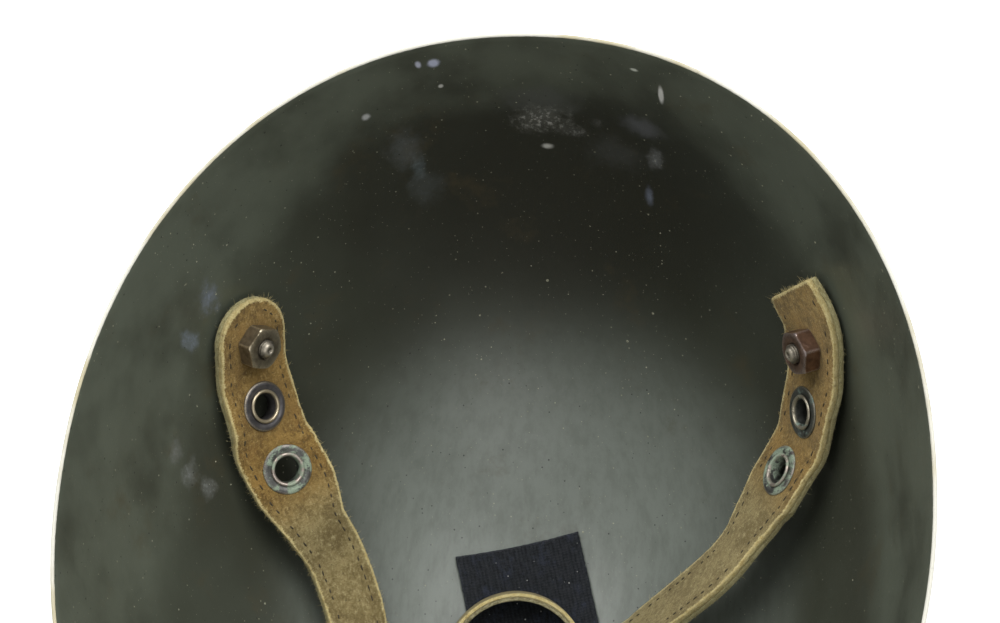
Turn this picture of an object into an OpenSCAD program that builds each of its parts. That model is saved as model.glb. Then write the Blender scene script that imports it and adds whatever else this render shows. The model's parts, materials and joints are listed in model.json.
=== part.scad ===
// Parachutist's steel helmet, lying on its crown with the opening up.
// The origin is the lowest point of the crown, +Z points out of the opening, +Y to the brow.

/* [Shell] */
// Width of the shell across the rim
shell_w = 245; // [238:1:258]
// Length of the shell from brow to nape across the rim
shell_l = 282; // [274:1:296]
// Depth of the shell from the rim to the crown
shell_h = 164; // [158:1:172]
// Thickness of the steel
shell_t = 1.2; // [1:0.1:1.6]
// Depth of the straight skirt below the rim
skirt_h = 32; // [26:1:38]
// Roundness of the plan outline, where 2 is an ellipse
plan_power = 2.1; // [2:0.05:2.2]

/* [Bolts] */
// Depth of the three bolts below the rim
bolt_drop = 66; // [62:1:70]
// Distance of the side bolts forward of the middle
bolt_y = 66; // [60:1:72]
// Diameter of the bolt shanks
bolt_d = 6.35; // [5:0.05:7]
// Diameter of the domed bolt heads
head_d = 14; // [11:0.5:16]
// Height of the domed bolt heads
head_h = 2.4; // [1.5:0.1:4]
// Width of the nuts across their flats
nut_flats = 13.2; // [11:0.1:14]
// Thickness of the nuts
nut_h = 5.5; // [4:0.1:6.5]
// Length of the bolt that stands out of the nut
tip_h = 2; // [1:0.1:3]
// Diameter of the washers between wall and leather
washer_d = 15; // [12:0.5:17]
// Thickness of the washers between wall and leather
washer_t = 2; // [1.5:0.1:3]

/* [Side straps] */
// Width of the straps round the bolt and the eyelets
strap_w = 28; // [26:0.5:30]
// Width of the straps below the eyelets
strap_low_w = 20; // [16:0.5:22]
// Thickness of one ply of strap leather
ply_t = 1.9; // [1.4:0.1:2]
// Distance from bolt to eyelet and from eyelet to eyelet
eyelet_pitch = 23.5; // [21:0.5:25]
// Distance from the second eyelet to the line on which a strap bends
bend_run = 13; // [11:0.5:15]
// Length of the rounded strap end beyond the bolt
round_end = 15.5; // [15:0.5:18]
// Length of the cut strap end beyond the bolt, which turns towards the brow
cut_end = 21; // [19:0.5:23]

/* [Eyelets] */
// Bore of the eyelets
eyelet_bore = 8.8; // [7:0.1:9.4]
// Diameter of the rolled lip round the bore
eyelet_lip_d = 11.4; // [10.8:0.1:13]
// Diameter of the flat washer that the lip holds
eyelet_washer_d = 16.8; // [15:0.1:18]
// Thickness of the sheet brass of the eyelets
eyelet_t = 0.6; // [0.4:0.05:0.8]

/* [Chin cup] */
// Radius of the ends of the cup's open oval
cup_r = 24; // [21:0.5:26]
// Length of the straight sides of the oval
cup_straight = 18; // [16:0.5:24]
// Height of the band that makes the oval
cup_band_w = 16; // [13:0.5:18]
// Thickness of one ply of the band
cup_ply_t = 1.4; // [1:0.1:1.8]
// Width of the billet that goes into the buckle
billet_w = 12; // [9:0.5:14]
// Thickness of the billet
billet_t = 2.4; // [1.8:0.1:3]
// Diameter of the holes in the billet
billet_hole_d = 3.2; // [2.5:0.1:4]
// Diameter of the rivet shanks
rivet_d = 3; // [2:0.1:4]
// Diameter of the rivet heads
rivet_head_d = 6.5; // [5:0.1:8]
// Height of the rivet heads
rivet_head_h = 1.1; // [0.8:0.1:1.6]

/* [Buckle and nape loop] */
// Diameter of the wire of the buckle and the nape loop
wire_d = 3; // [2.5:0.1:3.4]
// Distance between the two cross wires of the buckle
buckle_l = 20; // [17:0.5:24]
// Distance between the two cross wires of the nape loop
loop_l = 12; // [10:0.5:16]
// Outer diameter of the roller on the buckle
roller_d = 5; // [4.6:0.1:5.6]
// Diameter of the buckle's prong
prong_d = 2.4; // [2:0.1:2.8]
// Length of the nape strap below its bend
nape_low_l = 20; // [18:0.5:24]

/* [Crown patch] */
// Width of the webbing patch stuck inside the crown
patch_w = 45; // [38:1:50]
// Length of the webbing patch
patch_l = 48; // [40:1:54]
// Thickness of the webbing
patch_t = 1.5; // [1:0.1:1.8]
// Turn of the patch, seen from the opening
patch_turn = 15; // [0:1:30]

/* [Hidden] */

steel_green = "#3a4036";
dark_metal = "#6b5d4c";
leather_face = "#9a8550";
leather_back = "#6f6a48";
brass_dull = "#7d7a70";
brass_lip = "#b9a98a";
webbing = "#20242a";
wire_steel = "#8b8a84";

$fn = 48;

// Clearances
running = 0.05;
slip = 0.1;
bend_gap = 0.15;
seat_gap = 0.4;
patch_gap = 0.35;

// Shape of the bowl
segments = 72;
bowl_rings = 15;
flat_angle = 4;
turn_angle = 80;
bowl_top = shell_h - skirt_h;

strap_t = 2 * ply_t;
washer_seat = seat_gap + washer_t;
nut_seat = washer_seat + strap_t + running;
flat_run = eyelet_washer_d / 2 + 1;
tube_r = wire_d / 2 + slip + ply_t;
head_gap = 0.15;
over = 1;

function unit(v) = v / norm(v);
function signed_pow(x, p) = sign(x) * pow(abs(x), p);
function mix(a, b, k) = a * (1 - k) + b * k;

// Half axes of the bowl's plan, inset from the outside by off
function half_axes(off) = [shell_w / 2 - off, shell_l / 2 - off];
function rise(off) = (bowl_top - off) / (cos(flat_angle) - cos(turn_angle));
function gain(off) = 1 / (sin(turn_angle) + skirt_h / tan(turn_angle) / rise(off));
function skirt_slope(off) = gain(off) / tan(turn_angle) / rise(off);

// Share of the rim's outline that the bowl has at height z
function share_at(z, off) =
    z > bowl_top ? 1 - (shell_h - z) * skirt_slope(off)
    : gain(off) * sqrt(1 - pow(cos(flat_angle) - (z - off) / rise(off), 2));

// Share of the rim's outline on which a point of the plan lies
function plan_share(u, v) = pow(pow(abs(u), plan_power) + pow(abs(v), plan_power), 1 / plan_power);

// Height of the bowl's surface over a point of the plan
function height_at(u, v, off) =
    let (s = plan_share(u, v), low = gain(off) * sin(flat_angle), high = gain(off) * sin(turn_angle))
    s <= low ? off
    : s <= high ? off + rise(off) * (cos(flat_angle) - sqrt(1 - pow(s / gain(off), 2)))
    : shell_h - (1 - s) / skirt_slope(off);

// Slope of the bowl per share of the outline
function slope_at(s, off) =
    s <= gain(off) * sin(flat_angle) ? 0
    : s <= gain(off) * sin(turn_angle)
        ? rise(off) * s / pow(gain(off), 2) / sqrt(1 - pow(s / gain(off), 2))
    : 1 / skirt_slope(off);

// Inward normal of the inner wall at a point given in shares of the half axes
function wall_normal(u, v) =
    let (s = max(plan_share(u, v), 0.001), ab = half_axes(shell_t), k = slope_at(s, shell_t))
    unit([-k * pow(s, 1 - plan_power) * signed_pow(u, plan_power - 1) / ab.x,
          -k * pow(s, 1 - plan_power) * signed_pow(v, plan_power - 1) / ab.y,
          1]);

// Point at a distance off the inner wall
function off_wall(u, v, gap) =
    let (ab = half_axes(shell_t))
    [u * ab.x, v * ab.y, height_at(u, v, shell_t)] + gap * wall_normal(u, v);

// Height of the inner wall over a point of the plan in millimetres
function floor_height(x, y) = let (ab = half_axes(shell_t)) height_at(x / ab.x, y / ab.y, shell_t);

// How far a point lies inside the outer surface, as a share of the outline
function outer_margin(p) = let (ab = half_axes(0)) share_at(p.z, 0) - plan_share(p.x / ab.x, p.y / ab.y);

// Thickness of the wall along a line, found by halving
function wall_depth(p, n, near, far, steps) =
    steps == 0 ? near
    : let (middle = (near + far) / 2)
      outer_margin(p - middle * n) > 0 ? wall_depth(p, n, middle, far, steps - 1)
                                       : wall_depth(p, n, near, middle, steps - 1);

// A frame is [point, normal, heading, width direction], the normal pointing into the bowl
function frame(p, facing, heading) =
    let (n = unit(facing), t = unit(heading - (heading * n) * n)) [p, n, t, cross(t, n)];
function ahead(f, run) = [f[0] + run * f[2], f[1], f[2], f[3]];

// Seats of the bolts on the inner wall
bolt_share = share_at(shell_h - bolt_drop, shell_t);
bolt_v = bolt_y / (shell_l / 2 - shell_t);
bolt_u = pow(pow(bolt_share, plan_power) - pow(bolt_v, plan_power), 1 / plan_power);

function side_seat(side) = off_wall(side * bolt_u, bolt_v, 0);
function side_normal(side) = wall_normal(side * bolt_u, bolt_v);
nape_seat = off_wall(0, -bolt_share, 0);
nape_normal = wall_normal(0, -bolt_share);

// Flat stretches of a hanger: under the bolt, at each eyelet, and at the bend
function next_flat(f, facing, heading, run) =
    let (g = frame([0, 0, 0], facing, heading))
    [f[0] + run / 2 * f[2] + run / 2 * g[2], g[1], g[2], g[3]];

left_0 = frame(side_seat(-1) + washer_seat * side_normal(-1), side_normal(-1), [0.10, -0.76, -0.66]);
left_1 = next_flat(left_0, [0.79, -0.23, 0.57], [0.20, -0.76, -0.64], eyelet_pitch);
left_2 = next_flat(left_1, [0.51, -0.33, 0.80], [0.44, -0.71, -0.55], eyelet_pitch);
left_bend = ahead(left_2, bend_run);

right_0 = frame(side_seat(1) + washer_seat * side_normal(1), side_normal(1), [-0.20, -0.76, -0.66]);
right_1 = next_flat(right_0, [-0.88, -0.22, 0.42], [-0.36, -0.72, -0.60], eyelet_pitch);
right_2 = next_flat(right_1, [-0.79, 0.10, 0.60], [-0.46, -0.72, -0.55], eyelet_pitch);
right_bend = ahead(right_2, bend_run);

// The nape strap faces as the wall behind it does, at two depths below its bolt
nape_eyelet_drop = 33;
nape_end_drop = 52;
function nape_facing(drop) = wall_normal(0, -share_at(shell_h - bolt_drop - drop, shell_t));
nape_end_n = nape_facing(nape_end_drop);

nape_0 = frame(nape_seat + washer_seat * nape_normal, nape_normal, [0, 0.30, -0.95]);
nape_1 = next_flat(nape_0, nape_facing(nape_eyelet_drop), [0, 0.50, -0.86], eyelet_pitch);
nape_bend = ahead(nape_1, bend_run);

// A station is [point, normal, width direction, half width to the left, half width to the right]
function station(f, run, left, right) = [f[0] + run * f[2], f[1], f[3], left, right];

half_w = strap_w / 2;
half_low = strap_low_w / 2;

function round_stations(f) =
    [for (a = [12 : 13 : 90]) station(f, half_w - round_end - half_w * cos(a), half_w * sin(a), half_w * sin(a))];

// The cut end turns in its own plane beside the bolt and leans in beyond its flat stretch
end_turn = 34;
end_lean = 10;
end_turn_run = 4;
end_corner = 1.5;
function turned(f, back, turn) =
    [f[0] - back * f[2], f[1], cos(turn) * f[2] - sin(turn) * f[3], cos(turn) * f[3] + sin(turn) * f[2]];
function leant(f, lean) =
    [f[0], cos(lean) * f[1] + sin(lean) * f[2], cos(lean) * f[2] - sin(lean) * f[1], f[3]];
function end_stations(f) =
    let (middle = turned(f, end_turn_run, end_turn / 2),
         foot = turned(middle, flat_run - end_turn_run, end_turn / 2),
         tip = leant(foot, end_lean),
         run = cut_end - flat_run)
    [station(tip, -run, half_w - end_corner, half_w - end_corner), station(tip, -run * 0.75, half_w, half_w),
     station(tip, -run * 0.25, half_w, half_w), station(foot, 0, half_w, half_w),
     station(middle, 0, half_w, half_w)];

function flat_stations(f, left, right) = [station(f, -flat_run, left, right), station(f, flat_run, left, right)];

// Side straps narrow between the second eyelet and the bend, most on the side nearer the nape
spread_near = 2;
spread_far = 3;
low_near = half_low + spread_near;
low_far = half_low + spread_far;
function hanger_stations(start, f0, f1, f2, bend, side) = concat(
    start,
    [station(f0, flat_run, half_w, half_w)],
    flat_stations(f1, half_w, half_w),
    flat_stations(f2, half_w, half_w),
    [station(bend, -bend_gap, side > 0 ? low_near : low_far, side > 0 ? low_far : low_near)]);

left_hanger = hanger_stations(round_stations(left_0), left_0, left_1, left_2, left_bend, -1);
right_hanger = hanger_stations(end_stations(right_0), right_0, right_1, right_2, right_bend, 1);
nape_bend_half = half_low + 1;
nape_hanger = concat(
    round_stations(nape_0),
    [station(nape_0, flat_run, half_w, half_w)],
    flat_stations(nape_1, half_w, half_w),
    [station(nape_bend, -bend_gap, nape_bend_half, nape_bend_half)]);

// Route of a lower strap: share of width, share of length, gap off the wall,
// then the way that it faces and its half widths
left_route = [
    [-0.630, 0.045, 10, [0.50, -0.22, 0.83], 10, 10],
    [-0.560, -0.090, 8, [0.52, -0.06, 0.84], 10, 10],
    [-0.530, -0.210, 5.5, [0.57, 0.12, 0.80], 10, 10],
    [-0.525, -0.320, 5, [0.62, 0.28, 0.72], 10, 10],
    [-0.515, -0.420, 7, [0.61, 0.42, 0.67], 10, 10]];
right_route = [
    [0.618, 0.043, 16.2, [-0.81, 0.24, 0.53], 10.5, 10.5],
    [0.324, -0.083, 11, [-0.48, 0.51, 0.71], 10, 10],
    [0.240, -0.113, 10.8, [-0.56, 0.70, 0.43], 8.2, 8.2]];

function smooth(a, b, c, d, k) =
    0.5 * (2 * b + (c - a) * k + (2 * a - 5 * b + 4 * c - d) * k * k + (3 * b - a - 3 * c + d) * k * k * k);

// A knot is [point, facing, left, right]; the curve through the knots gives the stations
function route_knots(route) = [for (r = route) [off_wall(r[0], r[1], r[2]), unit(r[3]), r[4], r[5]]];
// The same for a route given from a point of the plan, in multiples of a length
function knots_from(route, x, y, scale, half) =
    let (ab = half_axes(shell_t))
    [for (r = route)
        [off_wall((x + r[0] * scale) / ab.x, (y + r[1] * scale) / ab.y, r[2] * scale), unit(r[3]), half, half]];
// A knot on the line of a frame, which may stand back from it by a gap
function lead_knot(f, run, left, right, back = 0) = [f[0] + run * f[2] - back * f[1], f[1], left, right];
function curve_point(k, i, j) =
    let (a = k[max(i - 1, 0)], b = k[i], c = k[i + 1], d = k[min(i + 2, len(k) - 1)])
    [for (m = [0 : 3]) smooth(a[m], b[m], c[m], d[m], j)];
function curve(k, steps) = concat(
    [for (i = [0 : len(k) - 2], j = [0 : steps - 1]) curve_point(k, i, j / steps)],
    [k[len(k) - 1]]);
function curve_stations(points, first) =
    [for (i = [0 : len(points) - 1])
        let (t = i == 0 ? first[2] : unit(points[min(i + 1, len(points) - 1)][0] - points[i - 1][0]),
             f = frame(points[i][0], i == 0 ? first[1] : points[i][1], t))
        [f[0], f[1], f[3], points[i][2], points[i][3]]];

// The oval of the chin cup stands on the crown and leans along cup_up
cup_x = -0.098 * shell_w / 2;
cup_mid_y = -0.177 * shell_l / 2;
cup_front_y = cup_mid_y + cup_straight / 2;
cup_up = unit([0.17, -0.30, 0.94]);
cup_clear = 0.7;
cup_lift = patch_gap + patch_t + cup_clear;
cup_steps = 12;
cup_side_n = unit(cross(cup_up, [0, -1, 0]));

function oval(r) = concat(
    [for (i = [0 : cup_steps]) let (a = 180 * i / cup_steps) [cup_x + r * cos(a), cup_front_y + r * sin(a)]],
    [for (i = [1 : 3]) [cup_x - r, cup_front_y - cup_straight * i / 4]],
    [for (i = [0 : cup_steps]) let (a = 180 + 180 * i / cup_steps)
        [cup_x + r * cos(a), cup_front_y - cup_straight + r * sin(a)]],
    [for (i = [3 : -1 : 1]) [cup_x + r, cup_front_y - cup_straight * i / 4]]);

function cup_point(xy, base) = [xy.x, xy.y, 0] + base * cup_up;
// How far along cup_up the band begins, found by repeating because the band leans
function cup_base(xy, rounds = 4, base = 0) =
    rounds == 0 ? base
    : let (p = cup_point(xy, base)) cup_base(xy, rounds - 1, (floor_height(p.x, p.y) + cup_lift) / cup_up.z);

cup_outer = oval(cup_r + cup_ply_t);
cup_middle = oval(cup_r);
cup_inner = oval(cup_r - cup_ply_t);
cup_bases = [for (k = [0 : len(cup_middle) - 1]) max(cup_base(cup_outer[k]), cup_base(cup_inner[k]))];

// Where the right strap and the billet are riveted to the straight sides of the oval.
// Each curve runs straight ahead for a lead before it turns.
left_lead = 8;
right_lead = 5;
right_end_lead = 4;
billet_lead = 5;
right_half = 6.5;
right_tip_half = 5.8;
rivet_pitch = 9;
end_run = 7.5;
lead_back = 0.5;
lap_back = 0.5;
function side_frame(side, out, climb) =
    let (x = cup_x + side * (cup_r + cup_ply_t), base = cup_base([x, cup_mid_y]) + cup_band_w / 2,
         n = -side * cup_side_n)
    frame(cup_point([x, cup_mid_y], base) - out * n, n, [0, -1, climb]);
strap_climb = 0.12;
billet_climb = 0.3;
right_end = side_frame(1, strap_t, strap_climb);
billet_start = side_frame(-1, billet_t, billet_climb);

right_knots = concat(
    [lead_knot(right_bend, bend_gap, low_near, low_far), lead_knot(right_bend, right_lead, low_near, low_far)],
    route_knots(right_route),
    [lead_knot(right_end, -end_run - right_end_lead, right_half, right_half, lead_back),
     lead_knot(right_end, -end_run, right_half, right_half)]);
right_strap = concat(
    curve_stations(curve(right_knots, 4), right_bend),
    [station(right_end, -end_run + lap_back, right_half, right_half),
     station(right_end, end_run, right_tip_half, right_tip_half)]);

left_knots = concat(
    [lead_knot(left_bend, bend_gap, low_far, low_near), lead_knot(left_bend, left_lead, low_far, low_near)],
    route_knots(left_route));
left_strap = curve_stations(curve(left_knots, 3), left_bend);

// The billet leaves the oval on its edge and lies down behind it
billet_half = billet_w / 2;
billet_route = [
    [-1.08, -1.31, 0.27, [0.82, 0.26, 0.30]],
    [-0.96, -1.65, 0.25, [0.60, 0.40, 0.60]],
    [-0.65, -2.00, 0.19, [0.32, 0.52, 0.78]],
    [-0.33, -2.15, 0.17, [0.18, 0.56, 0.80]]];
billet_knots = concat(
    [lead_knot(billet_start, end_run, billet_half, billet_half),
     lead_knot(billet_start, end_run + billet_lead, billet_half, billet_half, lead_back)],
    knots_from(billet_route, cup_x, cup_mid_y, cup_r, billet_half));
billet_flat = [station(billet_start, -end_run, billet_half, billet_half)];
billet_curve = curve_stations(curve(billet_knots, 3), billet_start);
billet_last = billet_curve[len(billet_curve) - 1];
billet_last_t = cross(billet_last[1], billet_last[2]);
billet_tip = 4;
billet_taper = 2;
billet_tip_half = billet_half - billet_taper;
billet_point = [[billet_last[0] + billet_tip * billet_last_t, billet_last[1], billet_last[2],
                 billet_tip_half, billet_tip_half]];

// Frame of the last station of a strap, at the middle of its thickness
function end_frame(stations) =
    let (s = stations[len(stations) - 1])
    [s[0] + ply_t * s[1], s[1], cross(s[1], s[2]), s[2]];

nape_knots = [
    lead_knot(nape_bend, bend_gap, half_low, half_low),
    [nape_bend[0] + nape_low_l * unit([0, nape_end_n.z, -nape_end_n.y]), nape_end_n, half_low, half_low]];
nape_strap = curve_stations(curve(nape_knots, 4), nape_bend);

// Cross wires: the fold of leather holds one wire a tube's radius beyond the strap's end
fold_overlap = 0.6;
left_wire = ahead(end_frame(left_strap), tube_r - fold_overlap);
nape_wire = ahead(end_frame(nape_strap), tube_r - fold_overlap);
frame_play = 2;
frame_half = half_low + frame_play + wire_d / 2;
prong_slot = 7;
slot_back = 2;

// Ribbon of leather between two depths, measured from the wall side
module ribbon(stations, near, far) {
    n = len(stations);
    points = [for (s = stations) each [
        s[0] + near * s[1] - s[3] * s[2], s[0] + near * s[1] + s[4] * s[2],
        s[0] + far * s[1] + s[4] * s[2], s[0] + far * s[1] - s[3] * s[2]]];
    sides = [for (i = [0 : n - 2]) let (a = 4 * i, b = 4 * i + 4) each [
        [a, b + 1, b], [a, a + 1, b + 1],
        [a + 1, a + 2, b + 2], [a + 1, b + 2, b + 1],
        [a + 3, b + 3, b + 2], [a + 3, b + 2, a + 2],
        [a, b, b + 3], [a, b + 3, a + 3]]];
    ends = [[0, 3, 2], [0, 2, 1], [4 * n - 4, 4 * n - 3, 4 * n - 2], [4 * n - 4, 4 * n - 2, 4 * n - 1]];
    polyhedron(points, concat(sides, ends));
}

// Moves children from the origin to a frame: X along the width, Y ahead, Z along the normal
module at(f) {
    multmatrix([[f[3].x, f[2].x, f[1].x, f[0].x], [f[3].y, f[2].y, f[1].y, f[0].y],
                [f[3].z, f[2].z, f[1].z, f[0].z], [0, 0, 0, 1]])
        children();
}

module tube(outer, inner, h) {
    difference() {
        cylinder(d = outer, h = h);
        translate([0, 0, -over]) cylinder(d = inner, h = h + 2 * over);
    }
}

// A wire along X, centred on the origin
module wire_x(length, d) { rotate([0, 90, 0]) cylinder(d = d, h = length, center = true); }

module bolt_line(f, base, d, h) { at(f) translate([0, 0, base]) cylinder(d = d, h = h); }

side_frames = [frame(side_seat(-1), side_normal(-1), [0, 0, -1]), frame(side_seat(1), side_normal(1), [0, 0, -1]),
               frame(nape_seat, nape_normal, [0, 0, -1])];

module shell() {
    function ring(z, off) =
        let (ab = half_axes(off), s = share_at(z, off))
        [for (k = [0 : segments - 1]) let (a = 360 * k / segments)
            [s * ab.x * signed_pow(cos(a), 2 / plan_power), s * ab.y * signed_pow(sin(a), 2 / plan_power), z]];
    function heights(off) = concat(
        [for (i = [0 : bowl_rings]) let (a = mix(flat_angle, turn_angle, i / bowl_rings))
            off + rise(off) * (cos(flat_angle) - cos(a))],
        [bowl_top + skirt_h / 2, shell_h]);
    outer = [for (z = heights(0)) each ring(z, 0)];
    inner = [for (z = heights(shell_t)) each ring(z, shell_t)];
    rows = bowl_rings + 3;
    far = rows * segments;
    function skin(from, flip) = [for (i = [0 : rows - 2], k = [0 : segments - 1])
        let (m = (k + 1) % segments, a = from + i * segments + k, b = from + i * segments + m,
             c = from + (i + 1) * segments + m, d = from + (i + 1) * segments + k)
        each flip ? [[a, b, c], [a, c, d]] : [[a, c, b], [a, d, c]]];
    rim = [for (k = [0 : segments - 1])
        let (m = (k + 1) % segments, a = (rows - 1) * segments + k, b = (rows - 1) * segments + m)
        each [[a, far + a, far + b], [a, far + b, b]]];
    crown = [[for (k = [0 : segments - 1]) k], [for (k = [segments - 1 : -1 : 0]) far + k]];
    drill_reach = 3 * shell_t;
    color(steel_green) difference() {
        polyhedron(concat(outer, inner), concat(skin(0, false), skin(far, true), rim, crown));
        for (f = side_frames) bolt_line(f, -drill_reach, bolt_d + 2 * slip, 2 * drill_reach);
    }
}

module crown_patch() {
    cells = 8;
    centre = [-6, 1];
    function spot(i, j) =
        let (x = patch_w * (i / cells - 0.5), y = patch_l * (j / cells - 0.5))
        centre + [x * cos(patch_turn) - y * sin(patch_turn), x * sin(patch_turn) + y * cos(patch_turn)];
    function layer(lift) = [for (j = [0 : cells], i = [0 : cells])
        let (p = spot(i, j)) [p.x, p.y, floor_height(p.x, p.y) + lift]];
    row = cells + 1;
    far = row * row;
    top = [for (j = [0 : cells - 1], i = [0 : cells - 1]) let (a = far + j * row + i)
        each [[a, a + row + 1, a + 1], [a, a + row, a + row + 1]]];
    bottom = [for (j = [0 : cells - 1], i = [0 : cells - 1]) let (a = j * row + i)
        each [[a, a + 1, a + row + 1], [a, a + row + 1, a + row]]];
    rim = concat([for (i = [0 : cells - 1]) i], [for (j = [0 : cells - 1]) cells + j * row],
                 [for (i = [cells : -1 : 1]) cells * row + i], [for (j = [cells : -1 : 1]) j * row]);
    sides = [for (k = [0 : len(rim) - 1]) let (a = rim[k], b = rim[(k + 1) % len(rim)])
        each [[a, far + b, b], [a, far + a, far + b]]];
    color(webbing) polyhedron(concat(layer(patch_gap), layer(patch_gap + patch_t)), concat(top, bottom, sides));
}

module bolt(f) {
    halvings = 14;
    back = wall_depth(f[0], f[1], 0, 2 * shell_t, halvings) + head_gap;
    dome_r = (head_d * head_d / 4 + head_h * head_h) / (2 * head_h);
    color(steel_green) at(f) {
        translate([0, 0, -back]) cylinder(d = bolt_d, h = back + nut_seat + running + nut_h + tip_h);
        intersection() {
            translate([0, 0, -back - head_h + dome_r]) sphere(r = dome_r, $fn = 2 * $fn);
            translate([0, 0, -back - head_h]) cylinder(d = head_d, h = head_h);
        }
    }
}

module bolt_washer(f) {
    color(dark_metal) at(f) translate([0, 0, seat_gap]) tube(washer_d, bolt_d + 2 * slip, washer_t - running);
}

module nut(f) {
    corners = nut_flats / cos(30);
    chamfer = 0.5;
    color(dark_metal) at(f) translate([0, 0, nut_seat + running]) difference() {
        intersection() {
            cylinder(d = corners, h = nut_h, $fn = 6);
            cylinder(d1 = corners + 2 * (nut_h - chamfer), d2 = corners - 2 * chamfer, h = nut_h);
        }
        translate([0, 0, -over]) cylinder(d = bolt_d + slip, h = nut_h + 2 * over);
    }
}

// Holes that a hanger has: one for the bolt, one for each eyelet
module hanger_holes(bolt_frame, eyelet_frames) {
    at(bolt_frame) translate([0, 0, -over]) cylinder(d = bolt_d + 2 * slip, h = strap_t + 2 * over);
    for (f = eyelet_frames)
        at(f) translate([0, 0, -over]) cylinder(d = eyelet_bore + 2 * eyelet_t + 2 * slip, h = strap_t + 2 * over);
}

module hanger(stations, near, far, bolt_frame, eyelet_frames) {
    difference() {
        ribbon(stations, near, far);
        hanger_holes(bolt_frame, eyelet_frames);
    }
}

module hanger_face(stations, bolt_frame, eyelet_frames) {
    color(leather_face) hanger(stations, ply_t, strap_t, bolt_frame, eyelet_frames);
}

module hanger_backing(stations, bolt_frame, eyelet_frames) {
    color(leather_back) hanger(stations, 0, ply_t, bolt_frame, eyelet_frames);
}

// Barrel with a flange behind the leather and a lip rolled over the washer in front
module eyelet(f) {
    r0 = eyelet_bore / 2;
    r1 = r0 + eyelet_t;
    lip = eyelet_lip_d / 2;
    flange = lip + 1;
    front = strap_t + eyelet_t;
    outer_bevel = 0.5;
    inner_bevel = 0.3;
    color(brass_lip) at(f) rotate_extrude()
        polygon([[r0, -eyelet_t], [flange, -eyelet_t], [flange, 0], [r1, 0], [r1, front], [lip, front],
                 [lip, front + eyelet_t * 0.6], [lip - outer_bevel, front + eyelet_t],
                 [r0 + inner_bevel, front + eyelet_t], [r0, front + eyelet_t * 0.5]]);
}

module eyelet_washer(f) {
    r0 = eyelet_bore / 2 + eyelet_t + slip;
    r1 = eyelet_washer_d / 2;
    bevel = 0.8;
    color(brass_dull) at(f) rotate_extrude()
        polygon([[r0, strap_t], [r1, strap_t], [r1, strap_t + eyelet_t * 0.6], [r1 - bevel, strap_t + eyelet_t],
                 [r0, strap_t + eyelet_t]]);
}

// The face ply of a strap, folded round the wire at its end
module folded_face(stations, wire) {
    difference() {
        union() {
            ribbon(stations, ply_t, strap_t);
            at(wire) wire_x(strap_low_w, 2 * tube_r);
        }
        at(wire) wire_x(strap_low_w + 2 * over, wire_d + 2 * slip);
    }
}

// The backing ply of a strap, which stops at the fold
module backing_to_fold(stations, wire) {
    difference() {
        ribbon(stations, 0, ply_t);
        at(wire) wire_x(strap_low_w + 2 * over, 2 * tube_r);
    }
}

// Opening in the fold through which the prong swings
module prong_opening() {
    at(left_wire) translate([-prong_slot / 2, -tube_r - slot_back, -2 * tube_r])
        cube([prong_slot, 4 * tube_r, 4 * tube_r]);
}

module left_strap_face() {
    color(leather_face) difference() {
        folded_face(left_strap, left_wire);
        prong_opening();
    }
}

module left_strap_backing() {
    color(leather_back) difference() {
        backing_to_fold(left_strap, left_wire);
        prong_opening();
    }
}

module rivet_holes(f, depth) {
    for (k = [-1, 1])
        at(f) translate([0, k * rivet_pitch / 2, -over]) cylinder(d = rivet_d + slip, h = depth + 2 * over);
}

module rivets(f, depth) {
    color(brass_dull) for (k = [-1, 1]) at(f) translate([0, k * rivet_pitch / 2, 0]) {
        translate([0, 0, -rivet_head_h / 2]) cylinder(d = rivet_d, h = depth + rivet_head_h);
        for (z = [-rivet_head_h, depth]) translate([0, 0, z]) cylinder(d = rivet_head_d, h = rivet_head_h);
    }
}

module right_strap_face() {
    color(leather_face) difference() {
        ribbon(right_strap, ply_t, strap_t);
        rivet_holes(right_end, strap_t);
    }
}

module right_strap_backing() {
    color(leather_back) difference() {
        ribbon(right_strap, 0, ply_t);
        rivet_holes(right_end, strap_t);
    }
}

// One ply of the oval band, between two outlines
module cup_ply(outside, inside) {
    n = len(outside);
    points = [for (k = [0 : n - 1]) each [
        cup_point(outside[k], cup_bases[k]), cup_point(inside[k], cup_bases[k]),
        cup_point(inside[k], cup_bases[k] + cup_band_w), cup_point(outside[k], cup_bases[k] + cup_band_w)]];
    faces = [for (k = [0 : n - 1]) let (a = 4 * k, b = 4 * ((k + 1) % n)) each [for (m = [0 : 3])
        let (s = (m + 1) % 4) each [[a + m, b + m, b + s], [a + m, b + s, a + s]]]];
    difference() {
        polyhedron(points, faces);
        rivet_holes(side_frame(1, 0, strap_climb), 2 * cup_ply_t);
        rivet_holes(side_frame(-1, 0, billet_climb), 2 * cup_ply_t);
    }
}

module chin_cup_outer_ply() { color(leather_face) cup_ply(cup_outer, cup_middle); }

module chin_cup_inner_ply() { color(leather_back) cup_ply(cup_middle, cup_inner); }

module chin_cup_rivets() { rivets(right_end, strap_t + 2 * cup_ply_t); }

module billet_rivets() { rivets(billet_start, billet_t + 2 * cup_ply_t); }

module chin_billet() {
    stations = concat(billet_flat, billet_curve, billet_point);
    holes = 3;
    hole_from = len(billet_curve) - 2 * holes;
    facet_turn = 20;
    color(leather_face) difference() {
        ribbon(stations, 0, billet_t);
        rivet_holes(billet_start, billet_t);
        for (i = [hole_from : 2 : len(billet_curve) - 2])
            let (s = billet_curve[i], f = [mix(s[0], billet_curve[i + 1][0], 0.4), s[1], cross(s[1], s[2]), s[2]])
            at(f) translate([0, 0, -over]) rotate(facet_turn) cylinder(d = billet_hole_d, h = billet_t + 2 * over);
    }
}

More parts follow.
